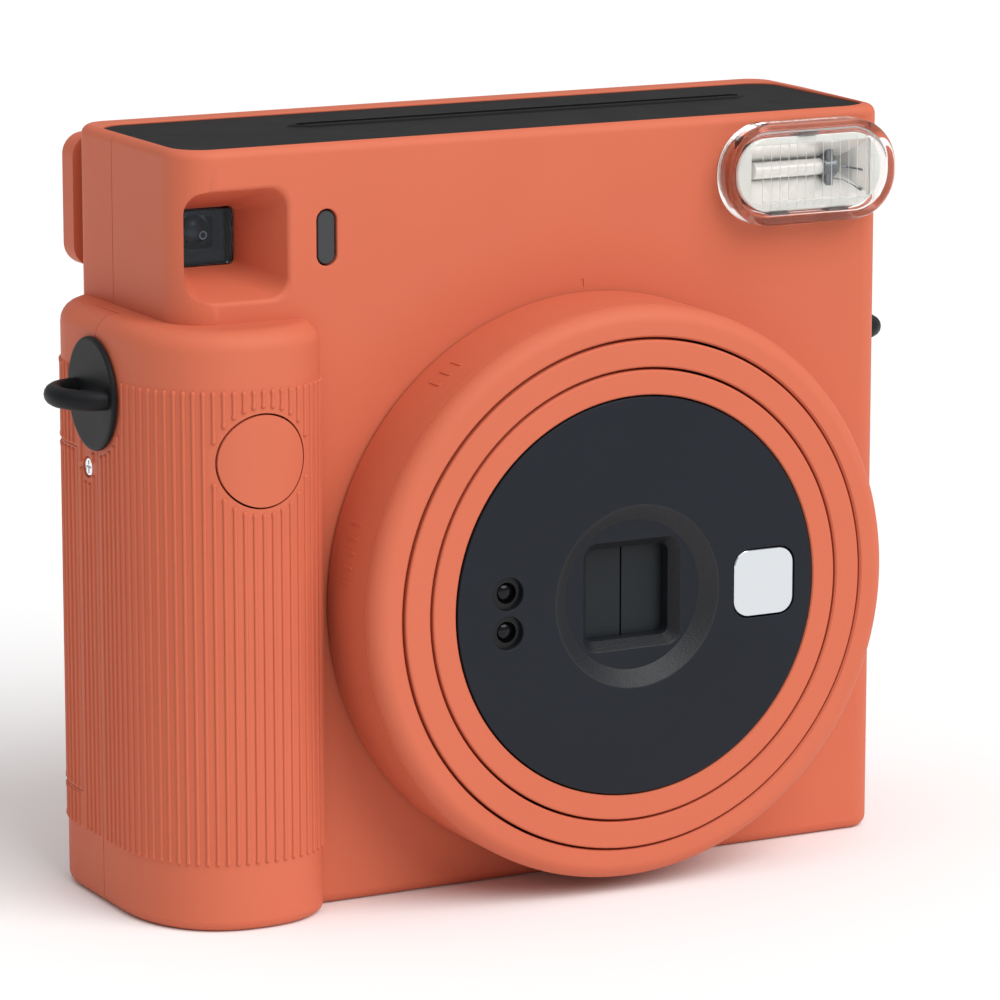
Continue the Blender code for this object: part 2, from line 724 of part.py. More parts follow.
def build_lens_group():
    build_lens_ring()
    build_middle_barrel()
    moving = [build_front_barrel(), build_face_plate(), build_shutter()]
    moving += build_face_fittings() + build_lens_cell()
    hang(joint_empty("front_barrel_axis", (LENS_X, FRONT, LENS_Z)), *moving)
    for side in (-1, 1):
        build_barrier_leaf(side)


# --- Film path -------------------------------------------------------------------------------


def build_film_chamber():
    """A box for the film pack, open at the rear, with the picture gate in front and a slit on top."""
    wall = Vector((CHAMBER_WALL, CHAMBER_WALL, CHAMBER_WALL))
    open_rear = Vector((0, CHAMBER_WALL + 5, 0))
    chamber = box("film_chamber", CHAMBER_LOW, CHAMBER_HIGH, "black_plastic")
    gate = 31.0
    cut(
        chamber,
        box("pack_space", CHAMBER_LOW + wall, CHAMBER_HIGH - wall + open_rear),
        box("picture_gate", (LENS_X - gate, -5, LENS_Z - gate), (LENS_X + gate, 2, LENS_Z + gate)),
        box("exit_slit", (CHAMBER_LOW.x + 2, 0.7, 100), (CHAMBER_HIGH.x - 2, 2.3, 108)),
    )


def build_light_tunnel():
    """The tapered black tunnel between the lens board and the picture gate."""
    tunnel = box("light_tunnel", (-1, -12.0, -1), (1, -1.8, 1), "black_plastic")
    hollow = box("tunnel_hollow", (-1, -12.5, -1), (1, -1.3, 1))
    for piece, grow in ((tunnel, 1.3), (hollow, 0.0)):
        piece.location.x, piece.location.z = LENS_X * MM, LENS_Z * MM
        for vertex in piece.data.vertices:
            half = (20.0 if vertex.co.y < 0 else 31.0) + grow
            vertex.co.x = math.copysign(half * MM, vertex.co.x)
            vertex.co.z = math.copysign(half * MM, vertex.co.z)
    cut(tunnel, hollow)


def gear_outline(centre, teeth, phase):
    """Straight-sided teeth; phase is the angle of one tooth's centre."""
    pitch_radius = MODULE * teeth / 2
    tooth = 2 * math.pi / teeth
    corners = (
        (-0.30, pitch_radius - 1.25 * MODULE),
        (-0.09, pitch_radius + 0.85 * MODULE),
        (0.09, pitch_radius + 0.85 * MODULE),
        (0.30, pitch_radius - 1.25 * MODULE),
    )
    points = []
    for i in range(teeth):
        for share, radius in corners:
            angle = phase + (i + share) * tooth
            points.append((centre[0] + radius * math.cos(angle), centre[1] + radius * math.sin(angle)))
    return points


def mesh_phase(driver, driver_teeth, driver_phase, driven, driven_teeth):
    """The tooth angle of a gear that meshes with a gear whose own tooth angle is known."""
    line = math.atan2(driven[1] - driver[1], driven[0] - driver[0])
    step = 2 * math.pi / driver_teeth
    ahead = (driver_phase - line + step / 2) % step - step / 2
    gap = line + math.pi - ahead * driver_teeth / driven_teeth
    return gap + math.pi / driven_teeth


FRONT_ROLLER = (SLOT_Y - ROLLER_PITCH / 2, ROLLER_Z)
REAR_ROLLER = (SLOT_Y + ROLLER_PITCH / 2, ROLLER_Z)
DRIVE_GEAR = (-5.25, ROLLER_Z - 10.843)
PINION = (-8.75, ROLLER_Z - 19.54)


def build_roller(name, centre, phase):
    """A steel roller with thinner shaft ends, and the gear on its right-hand end."""
    y, z = centre
    roller = cylinder(name, (LENS_X, y, z), ROLLER_RADIUS, 81.0, "X", "steel", 20)
    shaft = cylinder(name + "_shaft", (12.0, y, z), SHAFT_RADIUS, 93.6, "X", sides=12)
    join(roller, shaft)
    outline = gear_outline(centre, 16, phase)
    hole = bore(centre, SHAFT_RADIUS)
    gear = plate(name + "_gear", outline, GEAR_LEFT, GEAR_RIGHT, "X", "white_plastic", [hole])
    hang(joint_empty(name + "_axis", (LENS_X, y, z)), roller, gear)


def build_drive():
    """Rollers, the gears between them and the motor, and the two plates that carry the shafts."""
    front_phase = 0.0
    build_roller("front_roller", FRONT_ROLLER, front_phase)
    build_roller("rear_roller", REAR_ROLLER, mesh_phase(FRONT_ROLLER, 16, front_phase, REAR_ROLLER, 16))

    drive_phase = mesh_phase(FRONT_ROLLER, 16, front_phase, DRIVE_GEAR, 32)
    outline = gear_outline(DRIVE_GEAR, 32, drive_phase)
    hole = bore(DRIVE_GEAR, AXLE_RADIUS)
    gear = plate("drive_gear", outline, GEAR_LEFT, GEAR_RIGHT, "X", "white_plastic", [hole])
    hang(joint_empty("drive_gear_axis", (55.5, *DRIVE_GEAR)), gear)

    pinion_phase = mesh_phase(DRIVE_GEAR, 32, drive_phase, PINION, 8)
    outline = gear_outline(PINION, 8, pinion_phase)
    pinion = plate("motor_pinion", outline, GEAR_LEFT, GEAR_RIGHT, "X", "white_plastic")
    join(pinion, cylinder("pinion_shaft", (51.5, *PINION), PIN_RADIUS, 6.0, "X", sides=12))
    hang(joint_empty("motor_pinion_axis", (55.5, *PINION)), pinion)

    motor = cylinder("film_motor", (38.35, *PINION), 5.9, 26.7, "X", "steel", 24)
    cut(motor, cylinder("motor_bearing", (51.0, *PINION), PIN_RADIUS + RUNNING, 6.0, "X", sides=BORE_SIDES))
    cylinder("drive_gear_axle", (55.1, *DRIVE_GEAR), AXLE_RADIUS, 6.4, "X", "steel", 12)
    holes = [bore(FRONT_ROLLER, SHAFT_RADIUS), bore(REAR_ROLLER, SHAFT_RADIUS)]
    right = rounded_rectangle((-12.5, 84.5), (10.0, 113.3), 1.5, 2)
    right_holes = holes + [bore(DRIVE_GEAR, AXLE_RADIUS), circle(PINION, 2.6, 12)]
    plate("gear_plate", right, 51.8, 53.1, "X", "steel", right_holes)
    left = rounded_rectangle((-1.4, 94.0), (10.0, 113.3), 1.5, 2)
    ear = rounded_rectangle((-7.0, 104.2), (2.0, 113.3), 1.5, 2)
    bracket = plate("roller_bracket", left, -32.7, -31.4, "X", "steel", [bore(REAR_ROLLER, SHAFT_RADIUS)])
    join(bracket, plate("bracket_ear", ear, -32.7, -31.4, "X"))
    cut(bracket, plate("front_bearing", bore(FRONT_ROLLER, SHAFT_RADIUS), -35, -30, "X"))


# --- Film door -------------------------------------------------------------------------------


def build_film_door():
    door = box("film_door", (DOOR_LEFT, 18.4, DOOR_LOW), (HINGE_X, REAR, DOOR_HIGH), "orange_plastic")
    knuckle = cylinder("door_knuckle", (HINGE_X, HINGE_Y, 54.2), 2.0, DOOR_HIGH - DOOR_LOW, "Z", sides=20)
    join(door, knuckle)
    window_low, window_high = (34.0, 70.0), (44.0, 84.0)
    window = rounded_rectangle(window_low, window_high, 1.5, 3)
    latch_low, latch_high = (-25.2, 44.0), (-17.0, 62.0)
    cut(
        door,
        cylinder("knuckle_bore", (HINGE_X, HINGE_Y, 54.2), PIN_RADIUS + RUNNING, 110, "Z", sides=BORE_SIDES),
        plate("window_hole", window, 15, 25, "Y"),
        plate("latch_slot", rounded_rectangle(latch_low, latch_high, 1.5, 3), 15, 25, "Y"),
    )
    glass = plate("pack_window", inset(window, GAP), 18.8, 20.2, "Y", "dark_glass")
    springs = []
    for name, x in (("pressure_spring_left", -12.0), ("pressure_spring_right", 26.0)):
        bend = [(18.1, 30.0), (17.1, 38.0), (16.7, 47.5), (17.1, 57.0), (18.1, 65.0)]
        outline = [(y - 0.4, z) for y, z in bend] + [(y, z) for y, z in reversed(bend)]
        springs.append(plate(name, outline, x, x + 9.0, "X", "steel"))
    door_axis = joint_empty("film_door_axis", (HINGE_X, HINGE_Y, 54.2))
    hang(door_axis, door, glass, *springs)

    latch_outline = rounded_rectangle((-24.9, 47.5), (-17.3, 61.7), 1.3, 3)
    latch = plate("door_latch", latch_outline, 18.7, 21.4, "Y", "orange_plastic")
    hang(joint_empty("door_latch_axis", (-21.1, 20.0, 54.6)), latch)
    cylinder("door_hinge_pin", (HINGE_X, HINGE_Y, 54.2), PIN_RADIUS, 102.8, "Z", "steel", 12)


# --- Grip: batteries, electronics and shutter button -----------------------------------------


def build_batteries():
    low = 18.2
    holder = box("battery_holder", (-60.0, -6.6, 15.4), (-41.6, 12.4, 75.8), "black_plastic")
    cut(holder, box("cell_bay", (-70.0, -5.2, 16.8), (-42.8, 11.2, 74.4)))
    for name, z in (("battery_cell_lower", low), ("battery_cell_upper", low + CELL_LENGTH + 0.6)):
        middle = z + CELL_LENGTH / 2
        cell = cylinder(name, (CELL_X, CELL_Y, middle), CELL_RADIUS, CELL_LENGTH - 1.0, "Z", "cell_wrap", 24)
        tip = cylinder(name + "_tip", (CELL_X, CELL_Y, middle + 0.25), 3.2, CELL_LENGTH - 0.5, "Z", sides=16)
        join(cell, tip)
    for name, z in (("battery_contact_lower", 17.4), ("battery_contact_upper", 73.5)):
        box(name, (-56.5, -2.5, z - 0.3), (-44.5, 8.5, z + 0.2), "steel")


def build_electronics():
    box("circuit_board", (-35.0, -13.5, 10.0), (-33.6, 14.0, 84.0), "board_green")


def build_shutter_button():
    centre = (BUTTON_X, -26.9, BUTTON_Z)
    button = cylinder("shutter_button", centre, BUTTON_RADIUS, 3.6, "Y", "orange_plastic")
    flange = cylinder("button_flange", (BUTTON_X, -22.7, BUTTON_Z), 7.9, 1.0, "Y", sides=24)
    spacer = cylinder("button_spacer", (BUTTON_X, -24.2, BUTTON_Z), 6.0, 2.6, "Y", sides=24)
    stem = cylinder("button_stem", (BUTTON_X, -19.2, BUTTON_Z), STEM_RADIUS, 9.0, "Y", sides=16)
    join(button, spacer, flange, stem)
    hang(joint_empty("shutter_button_axis", (BUTTON_X, -28.7, BUTTON_Z)), button)

    turns, per_turn, radius = 3, 10, 4.0
    start, end = -21.7, -16.3
    path = []
    for i in range(turns * per_turn + 1):
        angle = 2 * math.pi * i / per_turn
        y = start + (end - start) * i / (turns * per_turn)
        path.append((BUTTON_X + radius * math.cos(angle), y, BUTTON_Z + radius * math.sin(angle)))
    rod("button_spring", path, 0.3, "steel", 2)
    bracket = box("button_bracket", (-57.5, -15.7, 64.0), (-41.0, -14.5, 82.0), "black_plastic")
    centre = (BUTTON_X, -15, BUTTON_Z)
    cut(bracket, cylinder("stem_hole", centre, STEM_RADIUS + RUNNING, 5, "Y", sides=BORE_SIDES))


def build_camera():
    build_front_shell()
    build_rear_shell()
    build_battery_cover()
    build_top_panel()
    build_screws()
    build_strap_lugs()
    build_finder()
    build_flash()
    build_lens_group()
    build_film_chamber()
    build_light_tunnel()
    build_drive()
    build_film_door()
    build_batteries()
    build_electronics()
    build_shutter_button()


clear_scene()
CAMERA = make_collection("instant_camera")
CUTTERS = make_collection("cutters")
MATERIALS = {name: make_material(name) for name in FINISHES}
build_camera()
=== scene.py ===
"""Looks of the instant camera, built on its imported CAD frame.

Sizes are in millimetres, and MM turns them into metres when a piece is dressed. The front faces
-Y, +X is to the right seen from the front (the grip is at -X), and +Z is up.
"""

import json
import math

import bmesh
import bpy
from mathutils import Matrix, Vector


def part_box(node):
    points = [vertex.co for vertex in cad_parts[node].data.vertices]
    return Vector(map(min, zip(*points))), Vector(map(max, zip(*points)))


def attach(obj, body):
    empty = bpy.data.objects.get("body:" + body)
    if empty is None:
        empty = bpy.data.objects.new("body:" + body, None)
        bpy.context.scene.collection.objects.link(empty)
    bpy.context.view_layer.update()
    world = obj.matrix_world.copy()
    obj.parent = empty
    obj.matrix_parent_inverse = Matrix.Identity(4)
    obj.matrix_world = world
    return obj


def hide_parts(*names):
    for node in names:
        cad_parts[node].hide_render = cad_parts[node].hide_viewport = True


MM = 0.001
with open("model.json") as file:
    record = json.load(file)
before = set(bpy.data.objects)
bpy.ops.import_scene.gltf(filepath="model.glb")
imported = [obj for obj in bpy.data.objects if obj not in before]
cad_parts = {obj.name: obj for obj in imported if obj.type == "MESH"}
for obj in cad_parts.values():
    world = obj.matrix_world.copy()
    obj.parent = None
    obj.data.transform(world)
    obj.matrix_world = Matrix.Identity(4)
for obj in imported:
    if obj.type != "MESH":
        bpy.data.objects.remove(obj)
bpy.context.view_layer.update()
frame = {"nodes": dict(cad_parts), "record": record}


def limits(node):
    """Lowest and highest corner of a CAD node."""
    low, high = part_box(node)
    return low / MM, high / MM


def middle_of(low, high):
    """Middle of a box seen from the front, as (x, z)."""
    return (low.x + high.x) / 2, (low.z + high.z) / 2


# Sizes read from the CAD's boxes
ring_low, ring_high = limits("lens_ring")
LENS_X, LENS_Z = middle_of(ring_low, ring_high)
RING_RADIUS = (ring_high.x - ring_low.x) / 2
LENS_FACE = limits("face_plate")[0].y
BUTTON_X, BUTTON_Z = middle_of(*limits("shutter_button"))
SIDE = limits("front_shell")[1].x
HEIGHT = limits("top_panel")[1].z
REAR = limits("rear_shell")[1].y

# Casing: front plane, wall, top of the wide lower part, left side of the upper part
FRONT = -20.0
WALL = 2.0
LEDGE = 92.3
UPPER_LEFT = -58.6
SIDE_DRAFT = 1.2
FRONT_CORNER = 4.0
REAR_CORNER = 5.0
GRIP_REAR_CORNER = 13.0
UPPER_LEFT_CORNER = 6.5
PANEL_REAR = 16.5

# Seam between the two halves, which steps forward along the grip
SEAM = 5.0
GRIP_SEAM = -3.5
GRIP_SEAM_X = -61.5
SEAM_GAP = 0.16

# Grip: the crease where it meets the front, and the curve of its bulge
CREASE = -36.0
GRIP_X = -48.5
GRIP_Y = -8.0
GRIP_DEPTH = 20.0
GRIP_RIGHT = 15.6
GRIP_POWER = 2.3

# Lens group, print slot, finder, light window, lugs, side screw, button
BORE = 40.3
PLATE_RADIUS = 31.2
HUB_RADIUS = 14.4
SLOT_Y = 1.5
SLOT_HALF = 39.4
FINDER_X = -49.2
FINDER_Z = 103.9
FINDER = (FINDER_X, FINDER_Z)
AE_X = -34.3
AE_Z = 104.2
LUG_Y = -3.2
LUG_Z = 80.3
LUG_RADIUS = 8.75
LUG_HOLE = 3.3
SCREW_Y = 0.3
SCREW_Z = 68.3
BUTTON_RADIUS = 7.0

# Rear: battery cover's box, and the hinge of the film door
COVER_LOW = Vector((-70.0, 4.3, 16.3))
COVER_HIGH = Vector((-50.3, 25.0, 70.7))
HINGE_X = 57.5
HINGE_Y = 18.5
HINGE_Z = 54.2
PIN_RADIUS = 0.85

BEYOND = 90.0  # further out than any part of the body

FULL = 2 * math.pi
HALF = math.pi
QUARTER = math.pi / 2


# --- Materials -------------------------------------------------------------------------------

SHADE_SCALE = 45.0
GLOSS_SCALE = 130.0


def material(name, colour, roughness, metallic=0.0, **sockets):
    """A Principled material; further sockets are named with underscores for spaces."""
    made = bpy.data.materials.new(name)
    made.use_nodes = True
    shader = made.node_tree.nodes["Principled BSDF"]
    shader.inputs["Base Color"].default_value = (*colour, 1.0)
    shader.inputs["Roughness"].default_value = roughness
    shader.inputs["Metallic"].default_value = metallic
    for socket, value in sockets.items():
        shader.inputs[socket.replace("_", " ")].default_value = value
    return made


def add_grain(made, size, height, shades=0.0, gloss=0.0):
    """Moulded texture: fine bumps, with a little change of shade and gloss over the surface."""
    tree = made.node_tree
    shader = tree.nodes["Principled BSDF"]
    place = tree.nodes.new("ShaderNodeTexCoord")

    def noise(scale, detail):
        node = tree.nodes.new("ShaderNodeTexNoise")
        node.inputs["Scale"].default_value = scale
        node.inputs["Detail"].default_value = detail
        tree.links.new(place.outputs["Object"], node.inputs["Vector"])
        return node.outputs["Fac"]

    bump = tree.nodes.new("ShaderNodeBump")
    bump.inputs["Strength"].default_value = 0.6
    bump.inputs["Distance"].default_value = height * MM
    tree.links.new(noise(1 / (size * MM), 3.0), bump.inputs["Height"])
    tree.links.new(bump.outputs["Normal"], shader.inputs["Normal"])
    if shades:
        colour = shader.inputs["Base Color"].default_value[:3]
        ramp = tree.nodes.new("ShaderNodeValToRGB")
        dark, light = ramp.color_ramp.elements
        dark.position = 0.3
        light.position = 0.7
        dark.color = (*[c * (1 - shades) for c in colour], 1)
        light.color = (*[min(1.0, c * (1 + shades)) for c in colour], 1)
        tree.links.new(noise(SHADE_SCALE, 4.0), ramp.inputs["Fac"])
        tree.links.new(ramp.outputs["Color"], shader.inputs["Base Color"])
    if gloss:
        spread = tree.nodes.new("ShaderNodeMapRange")
        rough = shader.inputs["Roughness"].default_value
        spread.inputs["To Min"].default_value = rough - gloss
        spread.inputs["To Max"].default_value = rough + gloss
        tree.links.new(noise(GLOSS_SCALE, 5.0), spread.inputs["Value"])
        tree.links.new(spread.outputs["Result"], shader.inputs["Roughness"])
    return made


def grained(name, colour, roughness, grain, metallic=0.0, **sockets):
    """A material with grain: bump size, bump height, change of shade, change of gloss."""
    return add_grain(material(name, colour, roughness, metallic, **sockets), *grain)


def glossless(name, colour, roughness, level, grain):
    """A dark or matt plastic that reflects less than the usual one."""
    return grained(name, colour, roughness, grain, Specular_IOR_Level=level)


def clear(name, colour, roughness, index, grain):
    """A clear material with its index of refraction."""
    return grained(name, colour, roughness, grain, Transmission_Weight=1.0, IOR=index)


ORANGE = glossless("orange_satin", (0.585, 0.142, 0.076), 0.52, 0.16, (0.22, 0.010, 0.015, 0.05))
BLACK = glossless("black_matte", (0.006, 0.0065, 0.008), 0.5, 0.2, (0.25, 0.02, 0.08, 0.06))
PANEL = glossless("panel_black", (0.007, 0.007, 0.008), 0.55, 0.1, (0.3, 0.015, 0.08, 0.06))
FACE = glossless("face_black", (0.009, 0.0115, 0.017), 0.42, 0.2, (0.16, 0.012, 0.05, 0.05))
HUB = glossless("hub_grained_black", (0.010, 0.011, 0.014), 0.42, 0.38, (0.2, 0.16, 0.1, 0.05))
DARK_GLASS = grained("dark_window", (0.008, 0.010, 0.014), 0.08, (2.0, 0.004))
AE_GLASS = grained("light_window_grey", (0.030, 0.032, 0.036), 0.3, (1.0, 0.004))
GLASS = clear("clear_lens", (0.92, 0.95, 0.96), 0.02, 1.5, (4.0, 0.002))
COVER_CLEAR = clear("flash_clear", (1.0, 0.985, 0.97), 0.03, 1.32, (3.0, 0.004))
FINDER_GLASS = clear("finder_glass", (0.62, 0.70, 0.80), 0.02, 1.25, (3.0, 0.003))
MIRROR = grained("mirror", (0.69, 0.72, 0.745), 0.12, (3.0, 0.002), 1.0)
REFLECTOR = grained("bright_reflector", (0.98, 0.98, 0.96), 0.25, (0.8, 0.08), 0.4)
FRAME_WHITE = grained("flash_frame", (0.84, 0.88, 0.85), 0.4, (0.4, 0.01, 0.02))
LEAF = glossless("leaf_black", (0.009, 0.012, 0.015), 0.45, 0.25, (0.2, 0.01, 0.05, 0.05))
# Black plastic made darker still for the insides of recesses: painted shade.
RECESS_SHADE_BLACK = glossless("black_with_painted_recess_shade", (0.003, 0.003, 0.004), 0.35, 0.3, (0.3, 0.01, 0.05))
TUBE = grained("flash_tube_glass", (0.95, 0.95, 0.92), 0.08, (2.0, 0.01), Coat_Weight=0.8)
STEEL = grained("steel", (0.58, 0.58, 0.60), 0.3, (0.3, 0.008, 0.05, 0.08), 1.0)
CHROME = grained("chrome", (0.85, 0.86, 0.88), 0.12, (0.6, 0.004), 1.0)
NYLON = grained("white_nylon", (0.75, 0.74, 0.70), 0.5, (0.3, 0.01, 0.02))
BOARD = grained("board_green", (0.015, 0.14, 0.06), 0.4, (0.5, 0.02, 0.15))
WRAP = grained("cell_sleeve", (0.28, 0.28, 0.31), 0.3, (2.0, 0.01, 0.05))
DARK_METAL = grained("dark_metal", (0.16, 0.18, 0.20), 0.35, (0.3, 0.01, 0.05), 0.8)
SENSOR_GLASS = glossless("sensor_glass", (0.003, 0.003, 0.005), 0.1, 0.25, (1.0, 0.004))
DARK_CLIP = grained("dark_clip", (0.10, 0.065, 0.06), 0.4, (0.4, 0.01, 0.05))
WHITE_MARK = grained("white_mark", (0.75, 0.78, 0.80), 0.5, (0.3, 0.005))

SLOT_MATERIALS = {
    "orange_plastic": ORANGE,
    "black_plastic": BLACK,
    "face_black": FACE,
    "clear_plastic": COVER_CLEAR,
    "dark_glass": DARK_GLASS,
    "lens_glass": GLASS,
    "mirror": MIRROR,
    "reflector": REFLECTOR,
    "steel": STEEL,
    "white_plastic": NYLON,
    "board_green": BOARD,
    "cell_wrap": WRAP,
}


# --- Mesh helpers ----------------------------------------------------------------------------


def link(name, mesh):
    """A new object in the scene."""
    piece = bpy.data.objects.new(name, mesh)
    bpy.context.scene.collection.objects.link(piece)
    return piece


def new_piece(name, points, faces):
    """A closed mesh from points and faces, with its faces turned outwards."""
    mesh = bpy.data.meshes.new(name)
    mesh.from_pydata([tuple(p) for p in points], [], faces)
    tidy = bmesh.new()
    tidy.from_mesh(mesh)
    bmesh.ops.remove_doubles(tidy, verts=tidy.verts, dist=1e-5)
    bmesh.ops.recalc_face_normals(tidy, faces=tidy.faces)
    tidy.to_mesh(mesh)
    tidy.free()
    return link(name, mesh)


def skin(rings, wrap=False, base=0):
    """Faces over closed rings of equally many points, the first of which has the number base.

    The ends are capped unless the last ring joins the first.
    """
    count = len(rings[0])
    faces = []
    for r in range(len(rings) if wrap else len(rings) - 1):
        a, b = base + r * count, base + (r + 1) % len(rings) * count
        faces += [(a + i, a + (i + 1) % count, b + (i + 1) % count, b + i) for i in range(count)]
    if not wrap:
        last = base + (len(rings) - 1) * count
        faces.append(tuple(reversed(range(base, base + count))))
        faces.append(tuple(range(last, last + count)))
    return faces


def loft(name, rings, wrap=False):
    """A skin over closed rings; the ends are capped unless the rings wrap round."""
    return new_piece(name, [p for ring in rings for p in ring], skin(rings, wrap))


def at_depth(outline, y):
    """An outline of (x, z) points placed at one depth."""
    return [(x, y, z) for x, z in outline]


def prism(name, outline, levels, axis="Z"):
    """An outline lofted through (position, inset) levels along an axis.

    The outline is (x, y) for Z, (x, z) for Y and (y, z) for X.
    """
    rings = []
    for place, distance in levels:
        loop = inset(outline, distance) if distance else outline
        if axis == "Z":
            rings.append([(u, v, place) for u, v in loop])
        elif axis == "Y":
            rings.append(at_depth(loop, place))
        else:
            rings.append([(place, u, v) for u, v in loop])
    return loft(name, rings)


def turns(sweep, steps):
    """Angles from 0 to a sweep, both ends included."""
    return [sweep * i / steps for i in range(steps + 1)]


def round_levels(low, high, low_round, high_round, steps=6):
    """Levels for a prism that round its rim at either end by that end's own radius."""
    levels = []
    for end, radius, way in ((low, low_round, 1), (high, high_round, -1)):
        part = [(end, 0.0)]
        if radius:
            part = [
                (end + way * radius * (1 - math.cos(t)), radius * (1 - math.sin(t)))
                for t in turns(QUARTER, steps)
            ]
        levels += part if way > 0 else part[::-1]
    return levels


def revolve(name, profile, steps=128):
    """A shape turned about the lens axis from a closed profile of (radius, y)."""
    rings = []
    for angle in turns(FULL, steps)[:-1]:
        c, s = math.cos(angle), math.sin(angle)
        rings.append([(LENS_X + r * c, y, LENS_Z + r * s) for r, y in profile])
    return loft(name, rings, wrap=True)


def bake_modifiers(piece):
    """Put the result of the modifiers into the mesh."""
    graph = bpy.context.evaluated_depsgraph_get()
    mesh = bpy.data.meshes.new_from_object(piece.evaluated_get(graph))
    piece.modifiers.clear()
    piece.data = mesh


def boolean(piece, operation, *others):
    """Join, cut or intersect a piece with others, which are used up."""
    for other in others:
        step = piece.modifiers.new(operation, "BOOLEAN")
        step.operation = operation
        step.solver = "EXACT"
        step.object = other
    bpy.context.view_layer.update()
    bake_modifiers(piece)
    for other in others:
        bpy.data.objects.remove(other)
    return piece


def cut(piece, *cutters):
    return boolean(piece, "DIFFERENCE", *cutters)


def soften(piece, width, segments=3, angle=35):
    """Round the edges sharper than an angle."""
    bevel = piece.modifiers.new("Soft edges", "BEVEL")
    bevel.width = width
    bevel.segments = segments
    bevel.limit_method = "ANGLE"
    bevel.angle_limit = math.radians(angle)
    bake_modifiers(piece)
    return piece


def shade(piece, angle):
    """Smooth shading, with the edges sharper than an angle kept sharp."""
    piece.data.shade_smooth()
    piece.data.set_sharp_from_angle(angle=math.radians(angle))
    normals = piece.modifiers.new("Even normals", "WEIGHTED_NORMAL")
    normals.keep_sharp = True


def dress(piece, look, slot, body, *nodes, angle=32):
    """Give a piece its material, its body, and the CAD nodes it stands for; the slot is not used.
    """
    piece.data.transform(Matrix.Scale(MM, 4))
    piece.data.materials.clear()
    piece.data.materials.append(look)
    shade(piece, angle)
    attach(piece, body)
    if nodes:
        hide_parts(*nodes)
    return piece


def merge(name, pieces):
    """Several separate meshes as one piece."""
    joined = bmesh.new()
    for piece in pieces:
        joined.from_mesh(piece.data)
        bpy.data.objects.remove(piece)
    mesh = bpy.data.meshes.new(name)
    joined.to_mesh(mesh)
    joined.free()
    return link(name, mesh)


def block(name, low, high, round_edges=0.0):
    """A box between two corners, its edges rounded if asked."""
    (x0, y0, z0), (x1, y1, z1) = low, high
    made = prism(name, [(x0, y0), (x1, y0), (x1, y1), (x0, y1)], [(z0, 0), (z1, 0)])
    return soften(made, round_edges) if round_edges else made


def arc(centre, radius, start, end, steps):
    """Points of an arc between two angles in degrees, both ends included."""
    x, y = centre
    angles = [math.radians(start + (end - start) * i / steps) for i in range(steps + 1)]
    return [(x + radius * math.cos(a), y + radius * math.sin(a)) for a in angles]


def circle(centre, radius, steps=48):
    return arc(centre, radius, 0, 360, steps)[:-1]


def rounded_rectangle(low, high, radius, steps=8):
    (x0, y0), (x1, y1) = low, high
    points = []
    for x, y, start in ((x1, y0, -90), (x1, y1, 0), (x0, y1, 90), (x0, y0, 180)):
        cx = x - math.copysign(radius, x - (x0 + x1) / 2)
        cy = y - math.copysign(radius, y - (y0 + y1) / 2)
        points += arc((cx, cy), radius, start, start + 90, steps)
    return points


def square(centre, half, radius):
    x, z = centre
    return rounded_rectangle((x - half, z - half), (x + half, z + half), radius)


def square_ring(centre, y, half, radius):
    return at_depth(square(centre, half, radius), y)


def inset(points, distance):
    """Move a closed counter-clockwise outline inwards by a distance, or outwards by a negative."""
    moved = []
    for i, point in enumerate(points):
        here = Vector(point)
        before = (here - Vector(points[i - 1])).normalized()
        after = (Vector(points[(i + 1) % len(points)]) - here).normalized()
        across = Vector((-before.y, before.x))
        normal = (across + Vector((-after.y, after.x))).normalized()
        moved.append(tuple(here + normal * (distance / max(0.5, normal.dot(across)))))
    return moved


def rod_cutter(name, centre, radius, half_length, axis, steps=48):
    """A round bar along an axis, about a centre."""
    x, y, z = centre
    across, along = {"X": ((y, z), x), "Y": ((x, z), y), "Z": ((x, y), z)}[axis]
    levels = [(along - half_length, 0), (along + half_length, 0)]
    return prism(name, circle(across, radius, steps), levels, axis)


def tube(name, points, radius, sides=16):
    """A round bar along a list of points."""
    curve = bpy.data.curves.new(name, "CURVE")
    curve.dimensions = "3D"
    curve.bevel_depth = radius
    curve.bevel_resolution = sides // 4
    curve.use_fill_caps = True
    spline = curve.splines.new("POLY")
    spline.points.add(len(points) - 1)
    for point, place in zip(spline.points, points):
        point.co = (*place, 1)
    holder = link(name, curve)
    bpy.context.view_layer.update()
    graph = bpy.context.evaluated_depsgraph_get()
    mesh = bpy.data.meshes.new_from_object(holder.evaluated_get(graph))
    bpy.data.objects.remove(holder)
    return link(name, mesh)


def flared(outline, back, surface, lip):
    """A cutter whose mouth opens with a soft lip at a surface that faces -Y."""
    levels = [(surface - 2.0, -lip * 1.001)]
    for turn in turns(QUARTER, 6):
        levels.append((surface + lip * (1 - math.cos(turn)), -lip * (1 - math.sin(turn))))
    return prism("flared_cutter", outline, levels + [(back, 0)], "Y")


# --- Casing ----------------------------------------------------------------------------------


def grip_bulge(steps_left=36, steps_right=24):
    """Plan of the grip's bulge, from the crease round to the left side."""
    points = []
    quarters = ((GRIP_RIGHT, 36, 90, steps_right), (SIDE + GRIP_X, 90, 180, steps_left))
    for half_width, start, end, steps in quarters:
        for i in range(steps + 1):
            angle = math.radians(start + (end - start) * i / steps)
            along = math.copysign(abs(math.cos(angle)) ** (2 / GRIP_POWER), math.cos(angle))
            out = abs(math.sin(angle)) ** (2 / GRIP_POWER)
            points.append((GRIP_X + half_width * along, GRIP_Y - GRIP_DEPTH * out))
    del points[steps_right + 1]
    return [(CREASE, FRONT)] + [p for p in points if p[0] < CREASE - 1.0]


